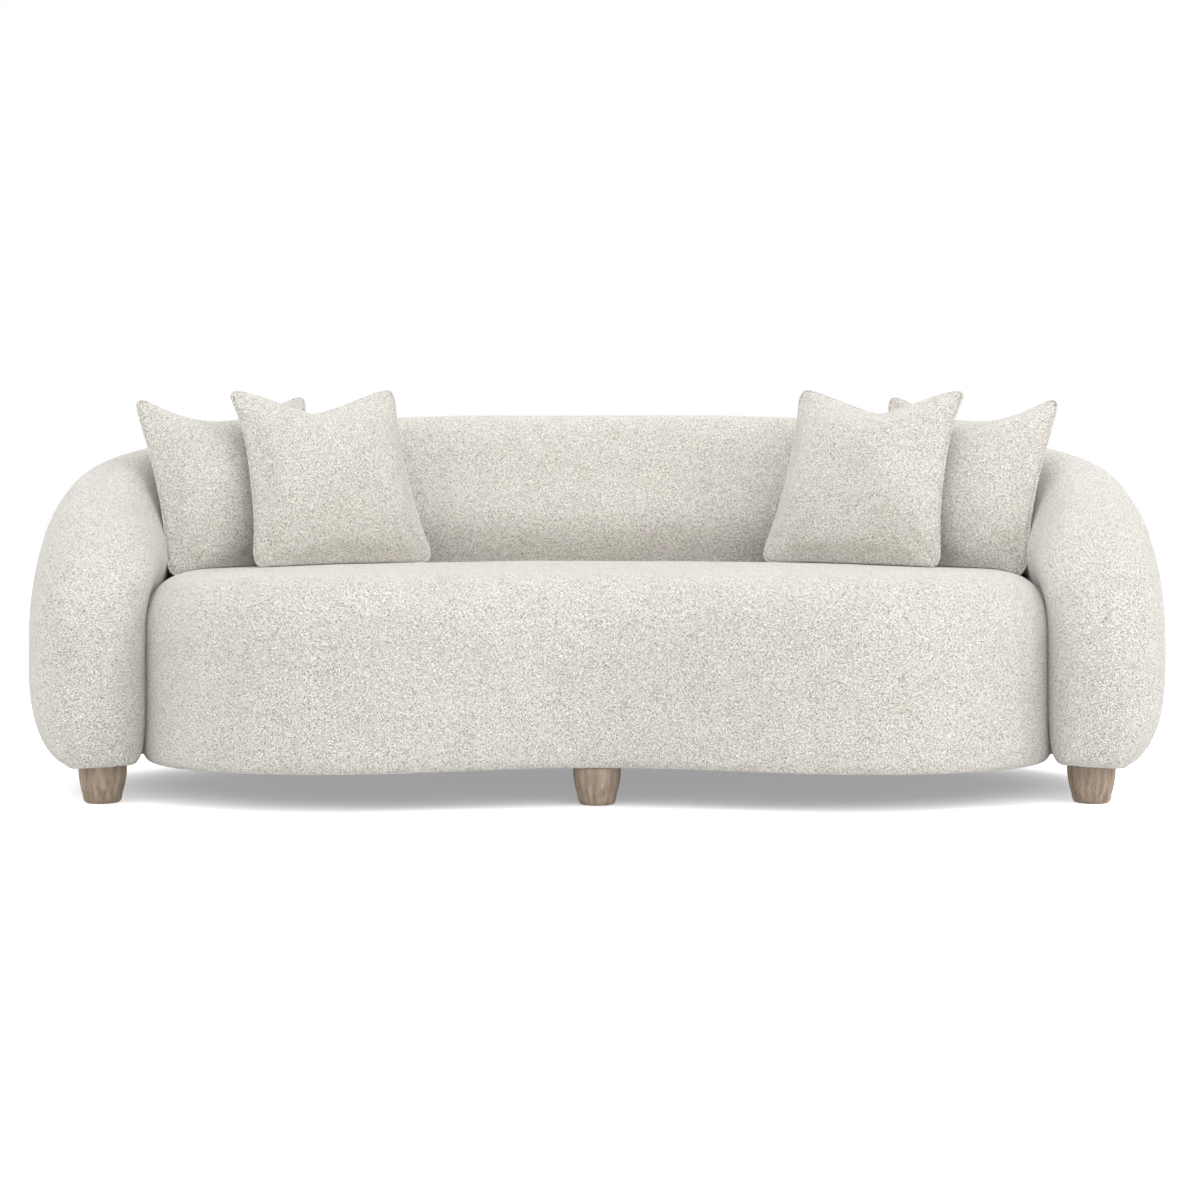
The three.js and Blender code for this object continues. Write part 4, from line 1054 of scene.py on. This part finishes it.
def ply_finish():
    """Birch ply: thin layers by height, and a slow figure."""
    material, tree, shader = finish("birch_ply")
    layers = stripes(tree, add(tree, "SeparateXYZ", Vector=place(tree)), 2, PLY_LAYER)
    share = maths(tree, "MULTIPLY_ADD", layers, 0.15, noise(tree, place(tree, PLY_SQUEEZE), 1.0, 4.0))
    tree.links.new(ramp(tree, share, PLY), shader.inputs["Base Color"])
    relief(tree, shader, 0.3, PLY_RELIEF, share)
    shader.inputs["Roughness"].default_value = 0.6
    return material


def lining_finish():
    """A fine flat weave: two crossed waves."""
    material, tree, shader = finish("black_lining")
    axes = add(tree, "SeparateXYZ", Vector=place(tree))
    crossed = maths(tree, "MULTIPLY", *(stripes(tree, axes, axis, LINING_PITCH) for axis in (0, 1)))
    weave = maths(tree, "MULTIPLY_ADD", crossed, 0.5, 0.5)
    tree.links.new(ramp(tree, weave, LINING), shader.inputs["Base Color"])
    relief(tree, shader, 0.5, WEAVE_RELIEF, weave)
    shader.inputs["Roughness"].default_value = 0.9
    return material


print("layers of the ply, mm:", PLY_LAYER * 1000)

# %% [markdown]
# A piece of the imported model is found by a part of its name, and its finish goes into its object's
# material slots. The feet, the cushions and the covers are replaced by the pieces above and need none.

# %% Inner pieces
ply = ply_finish()
inner_finishes = {
    "rib_": ply, "base_board": ply, "crest_rail": ply, "seat_rail_": ply, "cross_rail_": ply,
    "seat_spring_": mottled("spring_steel", (0.42, 0.43, 0.44), (0.60, 0.61, 0.62), 300.0, 0.35, 1.0),
    "foot_bolt_": mottled("bolt_steel", (0.45, 0.45, 0.44), (0.62, 0.62, 0.61), 400.0, 0.3, 1.0),
    "foot_nut_": mottled("insert_steel", (0.42, 0.40, 0.33), (0.60, 0.57, 0.46), 400.0, 0.35, 1.0),
    "foam": mottled("seat_foam", (0.70, 0.66, 0.48), (0.83, 0.79, 0.62), 500.0, 0.95),
    "dust_cover": lining_finish(),
    "lining": mottled("hardboard", (0.20, 0.12, 0.065), (0.33, 0.21, 0.12), 260.0, 0.75),
}
dressed = 0
for name, node in nodes.items():
    material = next((value for key, value in inner_finishes.items() if key in name), None)
    if material:
        for slot in node.material_slots:
            slot.material = material
        dressed += 1
print("inner pieces dressed:", dressed)

# %% [markdown]
# Last, the covers take their places: both ride on the sofa and stand for the imported model's covers.

# %% Hand over
for piece, node, fill in ((roll, "wrap_cover", 0.9), (seat, "seat_cover", 0.9)):
    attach(piece, "sofa")
    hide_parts(node)
print("covers ride on the sofa")
